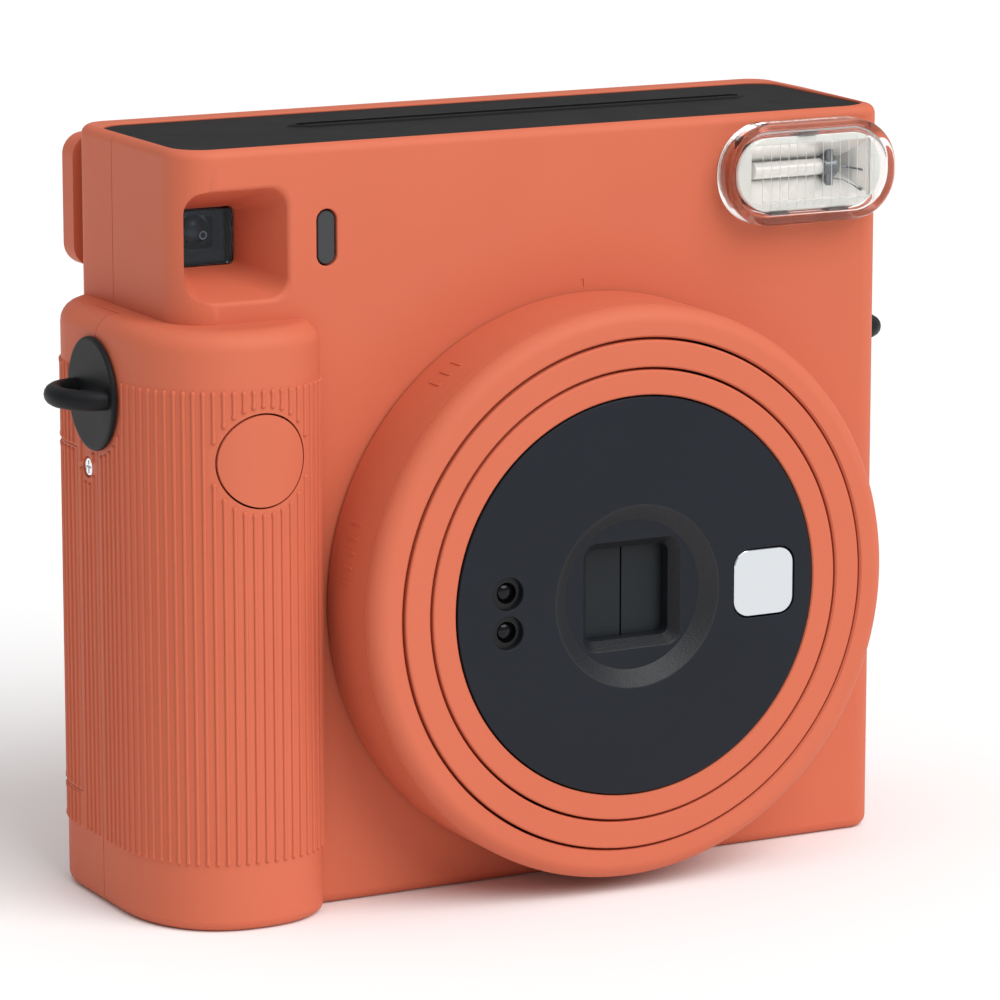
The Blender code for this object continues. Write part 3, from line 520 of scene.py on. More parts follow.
def right_side():
    """Plan of the right side, from the front corner to the rear one."""
    front_centre = (SIDE - SIDE_DRAFT - FRONT_CORNER, FRONT + FRONT_CORNER)
    rear_centre = (SIDE - REAR_CORNER, REAR - REAR_CORNER)
    front = arc(front_centre, FRONT_CORNER, -90, -3, 10)
    return front + [(SIDE, SEAM)] + arc(rear_centre, REAR_CORNER, 0, 90, 10)


def grip_rear(start, end, steps):
    """Plan of the grip's rear corner."""
    radius = GRIP_REAR_CORNER
    return arc((radius - SIDE, REAR - radius), radius, start, end, steps)


def lower_outline():
    """Plan of the body below the ledge, grip included."""
    return right_side() + grip_rear(90, 180, 20) + grip_bulge()[::-1]


def upper_outline():
    """Plan of the body above the ledge."""
    rear, front = REAR_CORNER, UPPER_LEFT_CORNER
    return (
        right_side()
        + arc((UPPER_LEFT + rear, REAR - rear), rear, 90, 180, 10)
        + arc((UPPER_LEFT + front, FRONT + front), front, 180, 270, 12)
    )


def casing(name):
    """The whole hollow casing; each half and the battery cover is a part of it."""
    lower, upper = lower_outline(), upper_outline()
    shell = prism(name, lower, round_levels(0.0, LEDGE, 1.8, 3.2))
    boolean(shell, "UNION", prism("upper", upper, round_levels(LEDGE - 12.0, HEIGHT, 0.0, 1.6)))
    return cut(
        shell,
        prism("hollow", inset(lower, WALL), [(WALL, 0), (LEDGE - WALL, 0)]),
        prism("upper_hollow", inset(upper, WALL), [(LEDGE - 24.0, 0), (HEIGHT - 3.5, 0)]),
    )


def seam_line(offset):
    """Plan of the seam, moved back by an offset."""
    step = GRIP_SEAM_X - offset
    grip, body = GRIP_SEAM + offset, SEAM + offset
    return [(-BEYOND, grip), (step, grip), (step, body), (BEYOND, body)]


def seam_cutter(plan):
    return prism("seam", plan, [(-BEYOND, 0), (2 * BEYOND, 0)])


def panel_outline():
    """Plan of the recess in the top, which stays clear of the rear rim."""
    low, high = (UPPER_LEFT + 1.4, FRONT + 1.3), (SIDE - 2.6, PANEL_REAR - 1.3)
    return rounded_rectangle(low, high, 5.0, 12)


def panel_recess():
    levels = [(HEIGHT - 1.7, 0), (HEIGHT - 0.2, 0), (HEIGHT + 0.1, -0.25), (HEIGHT + 2, -0.25)]
    return prism("recess", panel_outline(), levels)


def slot_cutter(half_width, low, high):
    """The print slot in the top."""
    ends = (LENS_X - SLOT_HALF, SLOT_Y - half_width), (LENS_X + SLOT_HALF, SLOT_Y + half_width)
    return prism("slot", rounded_rectangle(*ends, half_width * 0.9, 4), [(low, 0), (high, 0)])


def finder_cutter():
    """The tapered finder recess with softly rounded rims."""
    mouth, throat, back, rim = (8.3, 8.2), (4.5, 4.6), -9.0, 0.9
    levels = [(FRONT - 2.0, 1.001, rim), (FRONT, 1.0, rim)]
    for t in (0.3, 0.6, 0.9, 1.2, QUARTER):
        levels.append((FRONT + rim * (1 - math.cos(t)), 1.0, rim * (1 - math.sin(t))))
    levels += [(-12.0, 0.27, 0.0), (back, 0.0, 0.0)]
    rings = []
    for y, share, lip in levels:
        across, up = [throat[k] + (mouth[k] - throat[k]) * share + lip for k in (0, 1)]
        low, high = (FINDER_X - across, FINDER_Z - up), (FINDER_X + across, FINDER_Z + up)
        rings.append(at_depth(rounded_rectangle(low, high, 0.9 + 2.1 * share, 8), y))
    return loft("finder_cutter", rings)


def pill(half_width, height):
    """Outline of the light window."""
    low, high = (AE_X - half_width, AE_Z - height / 2), (AE_X + half_width, AE_Z + height / 2)
    return rounded_rectangle(low, high, half_width * 0.995, 10)


def left_lug_cutter():
    return rod_cutter("left_lug_hole", (2 - SIDE, LUG_Y, LUG_Z), LUG_HOLE, 6, "X")


def build_front():
    front = casing("casing_front")
    levels = ((FRONT + 0.5, 10.3, 3.5), (-12.0, 7.4, 2.5), (-7.4, 6.2, 1.8))
    funnel_wall = loft("funnel_wall", [square_ring(FINDER, *level) for level in levels])
    limit = prism("limit", inset(upper_outline(), 0.5), [(LEDGE, 0), (HEIGHT, 0)])
    boolean(funnel_wall, "INTERSECT", limit)
    boolean(front, "UNION", funnel_wall)
    lens_hole = circle((LENS_X, LENS_Z), 42.5, 128)
    button_spot = (BUTTON_X, -27, BUTTON_Z)
    cut(
        front,
        seam_cutter(seam_line(-SEAM_GAP / 2) + [(BEYOND, BEYOND), (-BEYOND, BEYOND)]),
        panel_recess(),
        slot_cutter(1.6, HEIGHT - 5, HEIGHT),
        prism("lens_hole", lens_hole, [(-30, 0), (-10, 0)], "Y"),
        rod_cutter("button_hole", button_spot, BUTTON_RADIUS + 0.3, 7, "Y", 96),
        finder_cutter(),
        prism("finder_throat", square(FINDER, 4.5, 0.9), [(-12, 0), (-5, 0)], "Y"),
        flared(pill(1.7, 8.7), FRONT + 5, FRONT, 0.25),
        block("flash_hole", (37.2, -24, 103.9), (60.4, -15, 114.6)),
        block("index_mark", (9.2, FRONT - 1, 93.3), (9.8, FRONT + 0.12, 94.6)),
        left_lug_cutter(),
        rod_cutter("right_lug_hole", (SIDE - 2, LUG_Y, LUG_Z), LUG_HOLE, 6, "X"),
        rod_cutter("base_hole", (30, -11, 1), 2.2, 3, "Z"),
    )
    dress(front, ORANGE, "orange_plastic", "case", "front_shell")


def build_rear():
    rear = casing("casing_rear")
    boolean(
        rear,
        "UNION",
        block("boss_low", (54.5, 15.7, 1.5), (61.0, 20.2, 4.3)),
        block("boss_high", (54.5, 15.7, 104.1), (61.0, 20.2, 108.0)),
    )
    ahead = seam_line(SEAM_GAP / 2)[::-1] + [(-BEYOND, -BEYOND), (BEYOND, -BEYOND)]
    low, high = limits("film_door")
    gap = 0.25
    door_low, door_high = (low.x - gap, 15.4, low.z - gap), (60.7, 25, high.z + gap)
    cover_low = COVER_LOW - Vector((1, 0.15, 0.12))
    cover_high = COVER_HIGH + Vector((0.3, 1, 0.12))
    eye_low, eye_high = (FINDER_X - 5, 15, FINDER_Z - 5), (FINDER_X + 5, 25, FINDER_Z + 5)
    cut(
        rear,
        seam_cutter(ahead),
        panel_recess(),
        block("door_opening", door_low, door_high),
        rod_cutter("pin_hole", (HINGE_X, HINGE_Y, HINGE_Z), PIN_RADIUS, 51.7, "Z", 24),
        block("cover_opening", cover_low, cover_high),
        block("eyepiece_hole", eye_low, eye_high),
        left_lug_cutter(),
        rod_cutter("screw_hole", (-SIDE, SCREW_Y, SCREW_Z), 1.72, 1.6, "X"),
        rod_cutter("base_hole", (30, 12, 1), 2.2, 3, "Z"),
    )
    dress(rear, ORANGE, "orange_plastic", "case", "rear_shell")


def build_cover():
    cover = casing("cover_panel")
    boolean(cover, "INTERSECT", block("cover_region", COVER_LOW, COVER_HIGH))
    dress(cover, ORANGE, "orange_plastic", "battery_cover", "battery_cover")


# --- Grip ribs -------------------------------------------------------------------------------

RIB_PITCH = 1.54
RIB_FIRST = 1.1  # how far along the grip the first rib stands
RIB_LOW = 10.5
RIB_HIGH = 83.5
RIB_HALF = 0.31
RIB_HEIGHT = 0.30
RIB_PROFILE = ((-1.0, -0.35), (-0.9, 0.45), (-0.45, 0.92), (0.45, 0.92), (0.9, 0.45), (1.0, -0.35))
RIB_END = ((0.0, 0.25), (0.12, 0.95), (0.32, 1.3), (0.62, 1.2), (0.95, 1.0))
SHORTEST_RIB = 1.4
LEFT_FACE = -60  # ribs further left than this can meet the lug, the side screw and the seam


def rib(place, normal, low, high):
    """Rings of one rounded rib with a small bead at each end."""
    tangent = Vector((-normal.y, normal.x))
    ends = [(low + up, size) for up, size in RIB_END]
    ends += [(high + low - z, size) for z, size in reversed(ends)]
    rings = []
    for z, size in ends:
        ring = []
        for u, v in RIB_PROFILE:
            along, out = u * size * RIB_HALF, v * size * RIB_HEIGHT
            point = place + tangent * along + normal * out
            ring.append((point.x, point.y, z))
        rings.append(ring)
    return rings


def rib_spans(place, low, high):
    """The heights that a rib covers once the button, the lug and the side screw are clear."""
    spans = [(low, high)]
    round_things = []
    if place.y < GRIP_Y:
        round_things.append((place.x - BUTTON_X, BUTTON_Z, BUTTON_RADIUS + 1.0))
    if place.x < LEFT_FACE:
        round_things.append((place.y - LUG_Y, LUG_Z, LUG_RADIUS + 0.7))
        round_things.append((place.y - SCREW_Y, SCREW_Z, 2.4))
    for across, z, reach in round_things:
        if abs(across) >= reach:
            continue
        half = math.sqrt(reach**2 - across**2)
        spans = [part for a, b in spans for part in ((a, min(b, z - half)), (max(a, z + half), b))]
        spans = [(a, b) for a, b in spans if b - a > SHORTEST_RIB]
    return spans


def build_ribs():
    """Ribs at an even pitch along the grip, in a group for each piece of the casing."""
    path = [Vector(p) for p in grip_bulge(160, 120) + grip_rear(180, 118, 60)]
    groups = {"ribs_front": [], "ribs_rear": [], "ribs_cover": []}

    def add(group, place, normal, low, high):
        groups[group] += [rib(place, normal, *span) for span in rib_spans(place, low, high)]

    travelled, wanted = 0.0, RIB_FIRST
    for a, b in zip(path, path[1:]):
        step = (b - a).length
        while travelled + step >= wanted and step > 0:
            place = a.lerp(b, (wanted - travelled) / step)
            wanted += RIB_PITCH
            direction = (b - a).normalized()
            normal = Vector((direction.y, -direction.x))
            if normal.dot(place - Vector((GRIP_X, 0))) < 0:
                normal = -normal
            if place.x < LEFT_FACE and abs(place.y - GRIP_SEAM) < 0.7:
                continue
            if place.y < GRIP_SEAM:
                add("ribs_front", place, normal, RIB_LOW, RIB_HIGH)
            elif place.y < COVER_LOW.y - 0.6:
                add("ribs_rear", place, normal, RIB_LOW, RIB_HIGH)
            elif place.y > COVER_LOW.y + 0.6:
                low, high = COVER_LOW.z, COVER_HIGH.z
                add("ribs_rear", place, normal, RIB_LOW, low - 0.3)
                add("ribs_rear", place, normal, high + 0.3, RIB_HIGH)
                groups["ribs_cover"].append(rib(place, normal, low + 0.3, high - 0.3))
        travelled += step
    for name, ribs in groups.items():
        points, faces = [], []
        for rings in ribs:
            faces += skin(rings, base=len(points))
            points += [p for ring in rings for p in ring]
        body = "battery_cover" if name == "ribs_cover" else "case"
        dress(new_piece(name, points, faces), ORANGE, "orange_plastic", body, angle=70)


# --- Top, lugs, screw, button ----------------------------------------------------------------


def build_top():
    """The top panel with a raised lip round the print slot."""
    levels = round_levels(HEIGHT - 1.5, HEIGHT - 0.3, 0.0, 0.25, 3)
    panel = prism("top_plate", inset(panel_outline(), 0.1), levels)
    ends = []
    for share in (0.0, 0.45, 0.75, 0.93, 1.0):
        rise = 0.7 * share
        ends.append((HEIGHT - 0.7 + rise, 0.25 + 1.35 * (1 - math.sqrt(1 - share**2))))
    steps = 24
    near = [(-1.0, 0.0)]
    for i in range(1, steps):
        u = -1 + 2 * i / steps
        near.append((u, -min(1.0, (1 - u * u) * 12)))
    near.append((1.0, 0.0))
    lens_shape = near + [(u, -v) for u, v in reversed(near[1:-1])]
    outline = [(LENS_X + u * (SLOT_HALF + 2.4), SLOT_Y + v * 3.0) for u, v in lens_shape]
    boolean(panel, "UNION", prism("lip", outline, ends))
    cut(panel, slot_cutter(1.0, HEIGHT - 4, HEIGHT + 3))
    dress(panel, PANEL, "black_plastic", "case", "top_panel")


def build_lugs():
    """A round boss with a half ring on each side."""
    rim = ((0.0, 0.0), (0.3, 0.0), (0.5, 0.1), (0.62, 0.35), (0.65, 0.7))
    for side, name in ((-1, "left"), (1, "right")):
        x = side * (SIDE + 0.35)
        levels = [(x + side * out, drawn_in) for out, drawn_in in rim]
        path = [
            (x + side * (0.3 + 5.65 * math.sin(a)), LUG_Y + 5.9 * math.cos(a), LUG_Z)
            for a in turns(HALF, 32)
        ]
        parts = [
            prism("disc", circle((LUG_Y, LUG_Z), LUG_RADIUS, 64), levels, "X"),
            rod_cutter("stem", (side * (SIDE - 1.2), LUG_Y, LUG_Z), 2.9, 2.0, "X"),
            tube("loop", path, 1.6, 24),
        ]
        piece = merge(name + "_lug", parts)
        dress(piece, BLACK, "black_plastic", "case", name + "_strap_lug")


def build_side_screw():
    """A small screw with a cross slot."""
    x = -SIDE + 0.2
    levels = [(x + 1.2, 0), (x + 0.25, 0), (x, 0.3)]
    head = prism("side_screw", circle((SCREW_Y, SCREW_Z), 1.6, 32), levels, "X")
    slots = []
    for half_y, half_z in ((1.0, 0.17), (0.17, 1.0)):
        low = (x - 1, SCREW_Y - half_y, SCREW_Z - half_z)
        high = (x + 0.35, SCREW_Y + half_y, SCREW_Z + half_z)
        slots.append(block("cross_slot", low, high))
    cut(head, *slots)
    dress(head, CHROME, "steel", "case", "left_side_screw")


def build_button():
    """The button, whose cap follows the curve of the grip."""

    def rod(name, y, radius, half_length, steps=48):
        return rod_cutter(name, (BUTTON_X, y, BUTTON_Z), radius, half_length, "Y", steps)

    cap = rod("release_button", -27.5, BUTTON_RADIUS, 4.5, 96)
    grip = prism("grip_form", inset(lower_outline(), -0.12), [(20, 0), (LEDGE + 4, 0)])
    boolean(cap, "INTERSECT", grip)
    under = [
        rod("spacer", -24.2, 6.0, 1.3),
        rod("flange", -22.7, 7.9, 0.5),
        rod("stem", -19.2, 2.4, 4.5),
    ]
    cut(cap, block("cap_back", (-70, -25.1, 50), (-30, -10, 90)))
    soften(cap, 0.22, 3, 45)
    piece = merge("release_button_set", [cap, *under])
    dress(piece, ORANGE, "orange_plastic", "shutter_button", "shutter_button", angle=50)


# --- Lens group ------------------------------------------------------------------------------

MARK_Y = -26.4
MARK_LENGTH = 3.2
MARK_STEP = 2.9  # degrees between the bars of one group
MARK_GROUPS = ((168.0, 5), (128.0, 3))  # place in degrees, number of bars


def quarter(radius, y, reach_in, reach_back, steps=8):
    """Points of a rounded outer front edge, from the front face to the side."""
    return [
        (radius - reach_in * (1 - math.sin(t)), y + reach_back * (1 - math.cos(t)))
        for t in turns(QUARTER, steps)
    ]


def ring_marks():
    """Plain bars on the ring's side, one group for each of the two turned positions."""
    half = MARK_LENGTH / 2
    ends = (
        (MARK_Y - half, 0.5),
        (MARK_Y - half + 0.15, 1),
        (MARK_Y + half - 0.15, 1),
        (MARK_Y + half, 0.5),
    )
    marks = []
    for start, count in MARK_GROUPS:
        for i in range(count):
            turn = math.radians(start + (i - (count - 1) / 2) * MARK_STEP)
            radial = Vector((math.cos(turn), math.sin(turn)))
            across = Vector((-math.sin(turn), math.cos(turn)))
            rings = []
            for y, size in ends:
                loop = []
                for u, v in ((-1, -0.3), (-0.8, 0.14), (0.8, 0.14), (1, -0.3)):
                    spot = radial * (RING_RADIUS - 0.02 + v * size) + across * (u * 0.28 * size)
                    loop.append((LENS_X + spot.x, y, LENS_Z + spot.y))
                rings.append(loop)
            marks.append(loft("mark", rings))
    return merge("ring_marks", marks)


def second_look(piece, look, chosen):
    """Give a second material to the faces chosen by their distance from the lens axis."""
    for polygon in piece.data.polygons:
        centre = polygon.center / MM
        if chosen(math.hypot(centre.x - LENS_X, centre.z - LENS_Z), centre.y, polygon.normal):
            polygon.material_index = 1
    piece.data.materials.append(look)


def build_lens_group():
    """The turned ring with its marks, and the two barrels that slide out of it."""
    face = LENS_FACE + 0.4
    profile = [
        (BORE, face + 0.3),
        (BORE + 0.3, face),
        *quarter(RING_RADIUS - 0.08, face, 2.7, 2.9, 10),
        (RING_RADIUS - 0.07, face + 3.4),
        (RING_RADIUS - 0.20, face + 3.45),
        (RING_RADIUS - 0.20, face + 3.6),
        (RING_RADIUS - 0.06, face + 3.65),
        (RING_RADIUS, FRONT - 0.7),
        (RING_RADIUS - 0.3, FRONT - 0.4),
        (42.2, FRONT - 0.4),
        (42.2, FRONT + 4.5),
        (BORE, FRONT + 4.5),
    ]
    ring = revolve("focus_ring", profile, 160)
    dress(ring, ORANGE, "orange_plastic", "lens_ring", "lens_ring", angle=40)
    dress(ring_marks(), ORANGE, "orange_plastic", "lens_ring", angle=60)

    face = LENS_FACE + 0.2
    inner, outer, back = 35.7, 39.9, -15.0
    profile = [(inner, face + 0.25), (inner + 0.25, face), *quarter(outer, face, 0.35, 0.35, 4)]
    middle = revolve("barrel_middle", profile + [(outer, back), (inner, back)], 144)
    dress(middle, ORANGE, "orange_plastic", "middle_barrel", "middle_barrel", angle=40)

    face = LENS_FACE + 0.1
    inner, outer, bore = 31.45, 35.3, 33.3
    profile = [(inner, face + 0.2), (31.65, face), *quarter(outer, face, 0.35, 0.35, 4)]
    profile += [(outer, -14.0), (bore, -14.0), (bore, -22.5), (8.0, -22.5)]
    profile += [(8.0, -24.5), (bore, -24.5), (bore, -34.0), (inner, -34.0)]
    front = revolve("barrel_front", profile, 144)
    dress(front, ORANGE, "orange_plastic", "front_barrel", "front_barrel", angle=40)
    second_look(front, BLACK, lambda radius, y, _: radius < 33.25 and y > -33)


def square_cutter():
    """The square opening over the lens: soft corners and sloping walls down to the leaves."""
    levels = (
        (-37.5, 8.85, 2.5),
        (LENS_FACE + 1.7, 8.75, 2.5),
        (LENS_FACE + 1.95, 8.45, 2.3),
        (-33.4, 7.25, 1.3),
        (-31.0, 7.1, 1.2),
    )
    return loft("square_cutter", [square_ring((LENS_X, LENS_Z), *level) for level in levels])


def build_sensor(spot, name):
    """A dark cup with a domed eye in it."""
    face = LENS_FACE
    x, z = spot[0] + 0.15, spot[1]
    outside, inside = [(face + 2.4, 0), (face + 0.9, 0)], [(face + 0.2, 0), (face + 1.9, 0.2)]
    cup = prism("sensor_cup_" + name, circle(spot, 2.6, 40), outside, "Y")
    cut(cup, prism("cup_hole", circle((x, z), 1.75, 32), inside, "Y"))
    # The cup gets the black that is darkened as painted shade.
    dress(cup, RECESS_SHADE_BLACK, "face_black", "front_barrel", angle=30)
    dome = []
    for r, h in ((1.5, 0.0), (1.4, 0.3), (1.0, 0.55), (0.4, 0.68), (0.02, 0.7)):
        y = face + 1.85 - h
        dome.append([(x + r * math.cos(a), y, z + r * math.sin(a)) for a in turns(FULL, 24)[:-1]])
    eye = loft("sensor_eye_" + name, dome)
    dress(eye, SENSOR_GLASS, "dark_glass", "front_barrel", "light_sensor_" + name, angle=60)


def build_face():
    """The black plate with its hub, the leaf seal, the mirror and the two sensors."""
    face = LENS_FACE
    back, hub_back, neck = face + 1.5, -31.7, 15.8
    profile = [
        (0.01, face + 1.8),
        (11.8, face + 1.8),
        (12.05, face + 1.66),
        (14.15, face + 0.1),
        (14.45, face),
        *quarter(PLATE_RADIUS, face, 0.25, 0.25, 3),
        (PLATE_RADIUS, back),
        (neck, back),
        (neck, hub_back),
        (0.01, hub_back),
    ]
    plate = revolve("face_disc", profile, 144)
    low, high = limits("selfie_mirror")
    mirror = (middle_of(low, high)[0], LENS_Z)
    half = (high.x - low.x) / 2
    names = ("upper", "lower")
    spots = [middle_of(*limits("light_sensor_" + name)) for name in names]
    holes = [flared(circle(spot, 2.62, 40), face + 3, face, 0.15) for spot in spots]
    pocket = flared(square(mirror, half + 0.22, 2.8), face + 0.9, face, 0.12)
    cut(plate, square_cutter(), pocket, *holes)
    dress(plate, FACE, "face_black", "front_barrel", "face_plate", angle=28)
    second_look(plate, HUB, lambda radius, _, n: radius < HUB_RADIUS and abs(n.y) < 0.96)

    edge = limits("barrier_leaf_left")[1]
    seal_low, seal_high = (edge.x - 0.7, edge.y + 0.02, 41.0), (edge.x + 0.85, edge.y + 0.25, 54.0)
    dress(block("leaf_seal", seal_low, seal_high), LEAF, "black_plastic", "barrier_leaf_left")

    levels = [(face + 0.6, 0), (face + 0.2, 0), (face + 0.05, 0.15)]
    glass = prism("mirror_glass", square(mirror, half, 2.6), levels, "Y")
    dress(glass, MIRROR, "mirror", "front_barrel", "selfie_mirror")
    for spot, name in zip(spots, names):
        build_sensor(spot, name)


# --- Finder, light window, flash -------------------------------------------------------------


def build_finder():
    """The finder's pane, baffle, inner lens and ring mark, and the small window beside it."""
    pane = prism("finder_pane", square(FINDER, 4.3, 0.9), [(-8.0, 0), (-9.2, 0), (-9.4, 0.15)], "Y")
    dress(pane, FINDER_GLASS, "dark_glass", "case", "viewfinder_window")
    x, z = FINDER_X - 0.6, FINDER_Z + 0.5
    baffle = prism("finder_baffle", square(FINDER, 5.2, 1.0), [(-4.6, 0), (-6.6, 0)], "Y")
    cut(baffle, prism("baffle_hole", square((x, z), 2.6, 0.9), [(-7.0, 0), (-4.0, 0.4)], "Y"))
    # The baffle gets the black that is darkened as painted shade.
    dress(baffle, RECESS_SHADE_BLACK, "black_plastic", "case")
    rings = []
    for r, y in ((2.4, -4.9), (2.3, -5.3), (1.7, -5.75), (0.9, -6.0), (0.02, -6.05)):
        rings.append([(x + r * math.cos(a), y, z + r * math.sin(a)) for a in turns(FULL, 32)[:-1]])
    dress(loft("finder_inner_lens", rings), DARK_GLASS, "lens_glass", "case", angle=60)
    x, z, r = FINDER_X - 0.1, FINDER_Z + 0.1, 0.55
    path = [(x + r * math.cos(a), -7.6, z + r * math.sin(a)) for a in turns(FULL, 40)]
    dress(tube("finder_mark", path, 0.08, 8), WHITE_MARK, "white_plastic", "case", angle=70)

    levels = [(FRONT + 1.4, 0), (FRONT + 0.45, 0), (FRONT + 0.3, 0.15)]
    window = prism("light_window", pill(1.45, 8.2), levels, "Y")
    dress(window, AE_GLASS, "dark_glass", "case", "ae_window")


def build_eyepiece():
    low, high = limits("eyepiece_housing")
    outline = rounded_rectangle((low.x, low.z), (high.x, high.z), 3.5, 10)
    housing = prism("eyepiece_frame", outline, round_levels(low.y, high.y, 0.0, 1.6), "Y")
    levels = [(low.y - 2, 0), (high.y - 1.8, 0), (high.y + 1.0, -2.6)]
    cut(housing, prism("eye_hole", square(FINDER, 5.0, 1.2), levels, "Y"))
    dress(housing, ORANGE, "orange_plastic", "case", "eyepiece_housing")
    levels = [(22.0, 0.1), (22.2, 0), (23.4, 0), (23.6, 0.2)]
    eye = prism("eyepiece_glass", square(FINDER, 4.6, 1.0), levels, "Y")
    dress(eye, FINDER_GLASS, "lens_glass", "case", "eyepiece_lens")


def build_flash():
    """The clear cover, and under it a white frame, a ribbed trough, the lamp and its holder."""
    low, high = limits("flash_cover")
    outline = rounded_rectangle((low.x, low.z), (high.x, high.z), 7.7, 16)
    front, back = low.y, high.y
    cover = prism("flash_lens", outline, round_levels(front, back, 1.7, 0.0), "Y")
    hollow = round_levels(front + 1.1, back + 2, 0.9, 0.0)
    cut(cover, prism("hollow", inset(outline, 1.35), hollow, "Y"))
    dress(cover, COVER_CLEAR, "clear_plastic", "case", "flash_cover", angle=40)

    trough_low, trough_high = limits("flash_reflector")
    x0, z0 = trough_low.x + 0.3, trough_low.z + 0.3
    x1, z1 = trough_high.x - 0.3, trough_high.z - 0.3
    middle = (z0 + z1) / 2
    levels = [(-21.9, 0), (-22.6, 0), (-22.8, 0.2)]
    panel = prism("flash_frame_plate", inset(outline, 2.1), levels, "Y")
    window = rounded_rectangle((x0, z0), (x1, z1), 0.5, 3)
    cut(panel, prism("window", window, [(-24, 0), (-20, 0)], "Y"))
    dress(panel, FRAME_WHITE, "white_plastic", "case")

    inside = []
    for y, in_x, in_z in (
        (-22.7, 0.0, 0.0),
        (-20.5, 1.3, 1.7),
        (-18.5, 2.4, 2.9),
        (-16.5, 3.3, 3.7),
        (-15.0, 4.0, 4.3),
    ):
        left, right, bottom, top = x0 + in_x, x1 - in_x, z0 + in_z, z1 - in_z
        corners = [(left, bottom), (right, bottom), (right, top), (left, top)]
        inside.append(at_depth(corners, y))
    sheet, middle_x = 0.25, 48
    outside = []
    for ring in inside:
        outside.append([])
        for x, y, z in ring:
            out_x = sheet if x > middle_x else -sheet
            out_z = sheet if z > middle else -sheet
            outside[-1].append((x + out_x, y + 0.3, z + out_z))
    trough = loft("flash_trough", outside)
    opening = [(x, -24.0, z) for x, _, z in inside[0]]
    cut(trough, loft("trough_space", [opening] + inside))
    dress(trough, REFLECTOR, "reflector", "case", "flash_reflector", angle=15)

    lamp = tube("flash_lamp", [(x0 + 2.6, -18.6, middle), (x1 - 5.4, -18.6, middle)], 1.35, 24)
    dress(lamp, TUBE, "lens_glass", "case", "flash_tube", angle=50)
    cap = [(x1 - 6.9, -18.9, middle), (x1 - 4.7, -18.9, middle)]
    lead = [
        (x1 - 4.8, -18.9, middle),
        (x1 - 2.2, -19.3, middle - 0.3),
        (x1 - 0.7, -21.6, middle - 0.6),
    ]
    lower_lead = [
        (x1 - 5.9, -19.0, z0 + 3.0),
        (x1 - 3.0, -19.4, z0 + 2.3),
        (x1 - 0.9, -21.8, z0 + 0.9),
    ]
    parts = [
        block("holder", (x1 - 6.6, -20.4, z0 + 1.6), (x1 - 5.4, -18.4, z1 - 1.6), 0.15),
        tube("cap", cap, 1.75, 24),
        tube("lead", lead, 0.16, 8),
        tube("lower_lead", lower_lead, 0.14, 8),
    ]
    dress(merge("flash_bracket", parts), DARK_METAL, "steel", "case", angle=40)
    lines = []
    for x in [x0 + 1.3 + 1.57 * i for i in range(14)]:
        ends = (x, front + 1.12, z0 - 0.6), (x + 0.07, front + 1.2, z1 + 0.6)
        lines.append(block("line", *ends))
    dress(merge("flash_flutes", lines), FRAME_WHITE, "white_plastic", "case")
    clips = []
    for left, right, bottom, top in (
        (46.3, 49.6, high.z - 2.05, high.z - 1.4),
        (41.2, 44.6, low.z + 1.4, low.z + 2.05),
        (51.7, 55.4, low.z + 1.4, low.z + 2.05),
    ):
        clips.append(block("clip", (left, -23.4, bottom), (right, -20.6, top), 0.1))
    dress(merge("flash_clips", clips), DARK_CLIP, "black_plastic", "case")


# --- Rear ------------------------------------------------------------------------------------


def build_door():
    """The film door with its knuckle, pack window and sliding latch."""
    low, high = limits("film_door")
    outline = rounded_rectangle((low.x, low.z), (HINGE_X, high.z), 0.8, 4)
    panel = prism("rear_door", outline, round_levels(18.4, REAR, 0.0, 0.5, 4), "Y")
    centre = (HINGE_X, HINGE_Y, (low.z + high.z) / 2)
    boolean(panel, "UNION", rod_cutter("knuckle", centre, 2.0, (high.z - low.z) / 2, "Z", 48))
    window = rounded_rectangle((34.0, 70.0), (44.0, 84.0), 1.5, 6)
    latch_slot = rounded_rectangle((-25.2, 44.0), (-17.0, 62.0), 1.5, 6)
    grip_lines = [
        block("grip_line", (-28.6 + 1.0 * i, REAR - 0.3, 44.5), (-28.2 + 1.0 * i, REAR + 2, 61.5))
        for i in range(3)
    ]
    cut(
        panel,
        rod_cutter("bore", (HINGE_X, HINGE_Y, HINGE_Z), PIN_RADIUS, 55, "Z", 24),
        prism("window_hole", window, [(15, 0), (REAR - 0.4, 0), (REAR + 1, -1.4)], "Y"),
        prism("latch_slot", latch_slot, [(15, 0), (25, 0)], "Y"),
        *grip_lines,
    )
    dress(panel, ORANGE, "orange_plastic", "film_door", "film_door")
    glass = prism("door_window", inset(window, 0.3), [(18.8, 0), (20.0, 0), (20.2, 0.2)], "Y")
    dress(glass, DARK_GLASS, "dark_glass", "film_door", "pack_window")
    outline = rounded_rectangle((-24.9, 47.5), (-17.3, 61.7), 1.3, 6)
    slider = prism("latch_slider", outline, round_levels(18.7, 21.4, 0.0, 0.5, 4), "Y")
    grooves = [
        block("groove", (-24.0, 21.1, 50.0 + 1.6 * i), (-18.2, 23.0, 50.7 + 1.6 * i))
        for i in range(6)
    ]
    cut(slider, *grooves)
    dress(slider, ORANGE, "orange_plastic", "door_latch", "door_latch")


# --- CAD nodes that stay, stage, light and camera --------------------------------------------


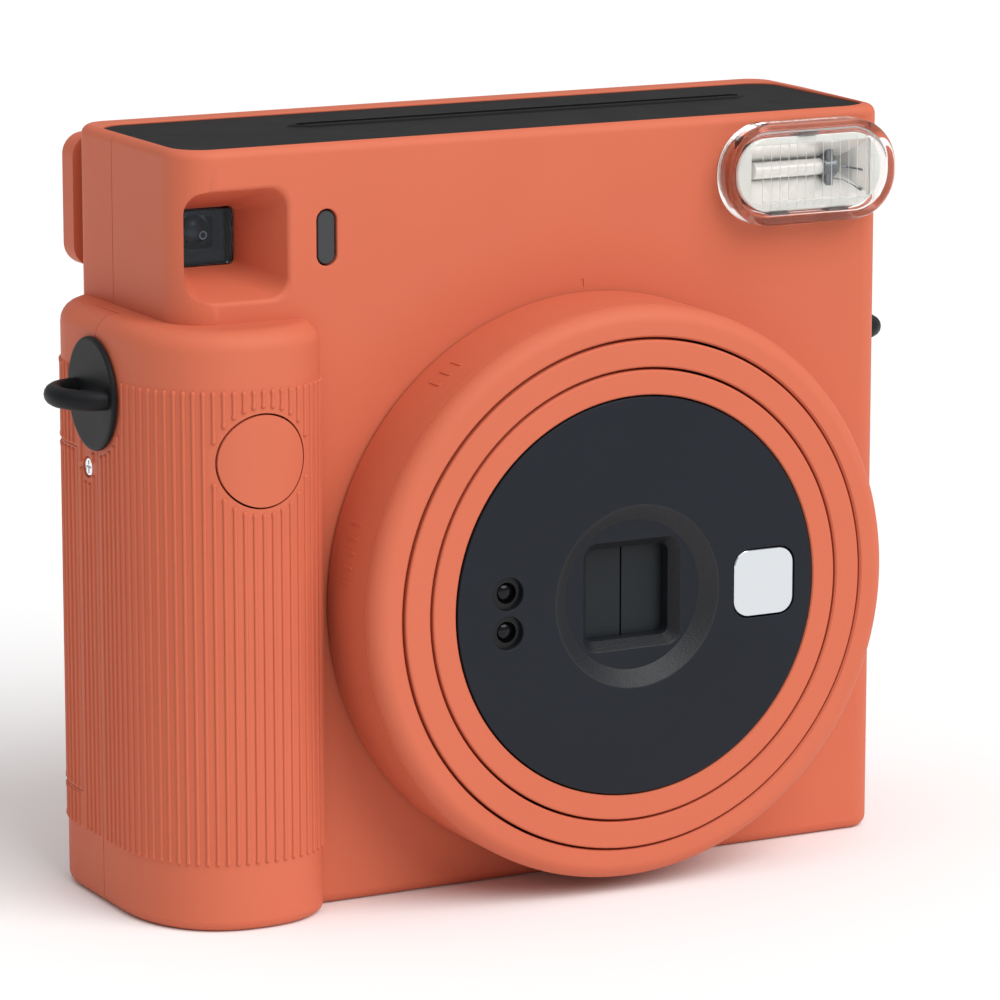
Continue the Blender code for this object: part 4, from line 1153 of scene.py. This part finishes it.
def dress_cad():
    """The CAD nodes that are shown as they are get the material of their slot."""
    slots = {row["node"]: row["material_slot"] for row in frame["record"]["subparts"]}
    # The finder tunnel gets the black that is darkened as painted shade, instead of its slot's
    # black.
    special = {"barrier_leaf_left": LEAF, "barrier_leaf_right": LEAF, "viewfinder_tunnel": RECESS_SHADE_BLACK}
    for name, node in frame["nodes"].items():
        if node.hide_render:
            continue
        node.data.materials.clear()
        node.data.materials.append(special.get(name, SLOT_MATERIALS[slots[name]]))
        node.data.shade_smooth()
        node.data.set_sharp_from_angle(angle=math.radians(35))


def sun(name, towards, power, softness):
    """A soft light that shines from a direction; softness is its angle in degrees."""
    lamp = bpy.data.lights.new(name, "SUN")
    lamp.energy = power
    lamp.angle = math.radians(softness)
    light = link(name, lamp)
    light.rotation_euler = Vector(towards).to_track_quat("Z", "Y").to_euler()


def build_stage():
    """A pale floor, even white surroundings and two soft suns; the floor is in metres."""
    reach = 6
    corners = [(-reach, -reach, 0), (reach, -reach, 0), (reach, reach, 0), (-reach, reach, 0)]
    floor = new_piece("floor", corners, [(0, 1, 2, 3)])
    floor.data.materials.append(grained("pale_floor", (0.92, 0.92, 0.92), 0.9, (8.0, 0.02)))
    world = bpy.data.worlds.new("studio")
    world.use_nodes = True
    sky = world.node_tree.nodes["Background"]
    sky.inputs["Color"].default_value = (1, 1, 1, 1)
    sky.inputs["Strength"].default_value = 0.42
    bpy.context.scene.world = world
    sun("key", (0.30, -0.75, 0.74), 2.3, 50)
    sun("overhead", (-0.15, -0.2, 1.0), 0.8, 70)
    bpy.context.scene.view_settings.view_transform = "Standard"
    bpy.context.scene.view_settings.look = "None"


def build_camera():
    """A long lens without shift, to the left of the front and a little above; in metres."""
    lens = bpy.data.cameras.new("view")
    lens.sensor_width = 36.0
    lens.lens = 185.7
    lens.clip_start = 0.05
    lens.clip_end = 50.0
    camera = link("view", lens)
    camera.location = (-0.3696, -0.7125, 0.2223)
    camera.rotation_euler = (math.radians(90 - 11.643), 0, math.radians(-27.775))
    bpy.context.scene.camera = camera


build_camera()
build_front()
build_rear()
build_cover()
build_ribs()
build_top()
build_lugs()
build_side_screw()
build_button()
build_lens_group()
build_face()
build_finder()
build_eyepiece()
build_flash()
build_door()
dress_cad()
build_stage()
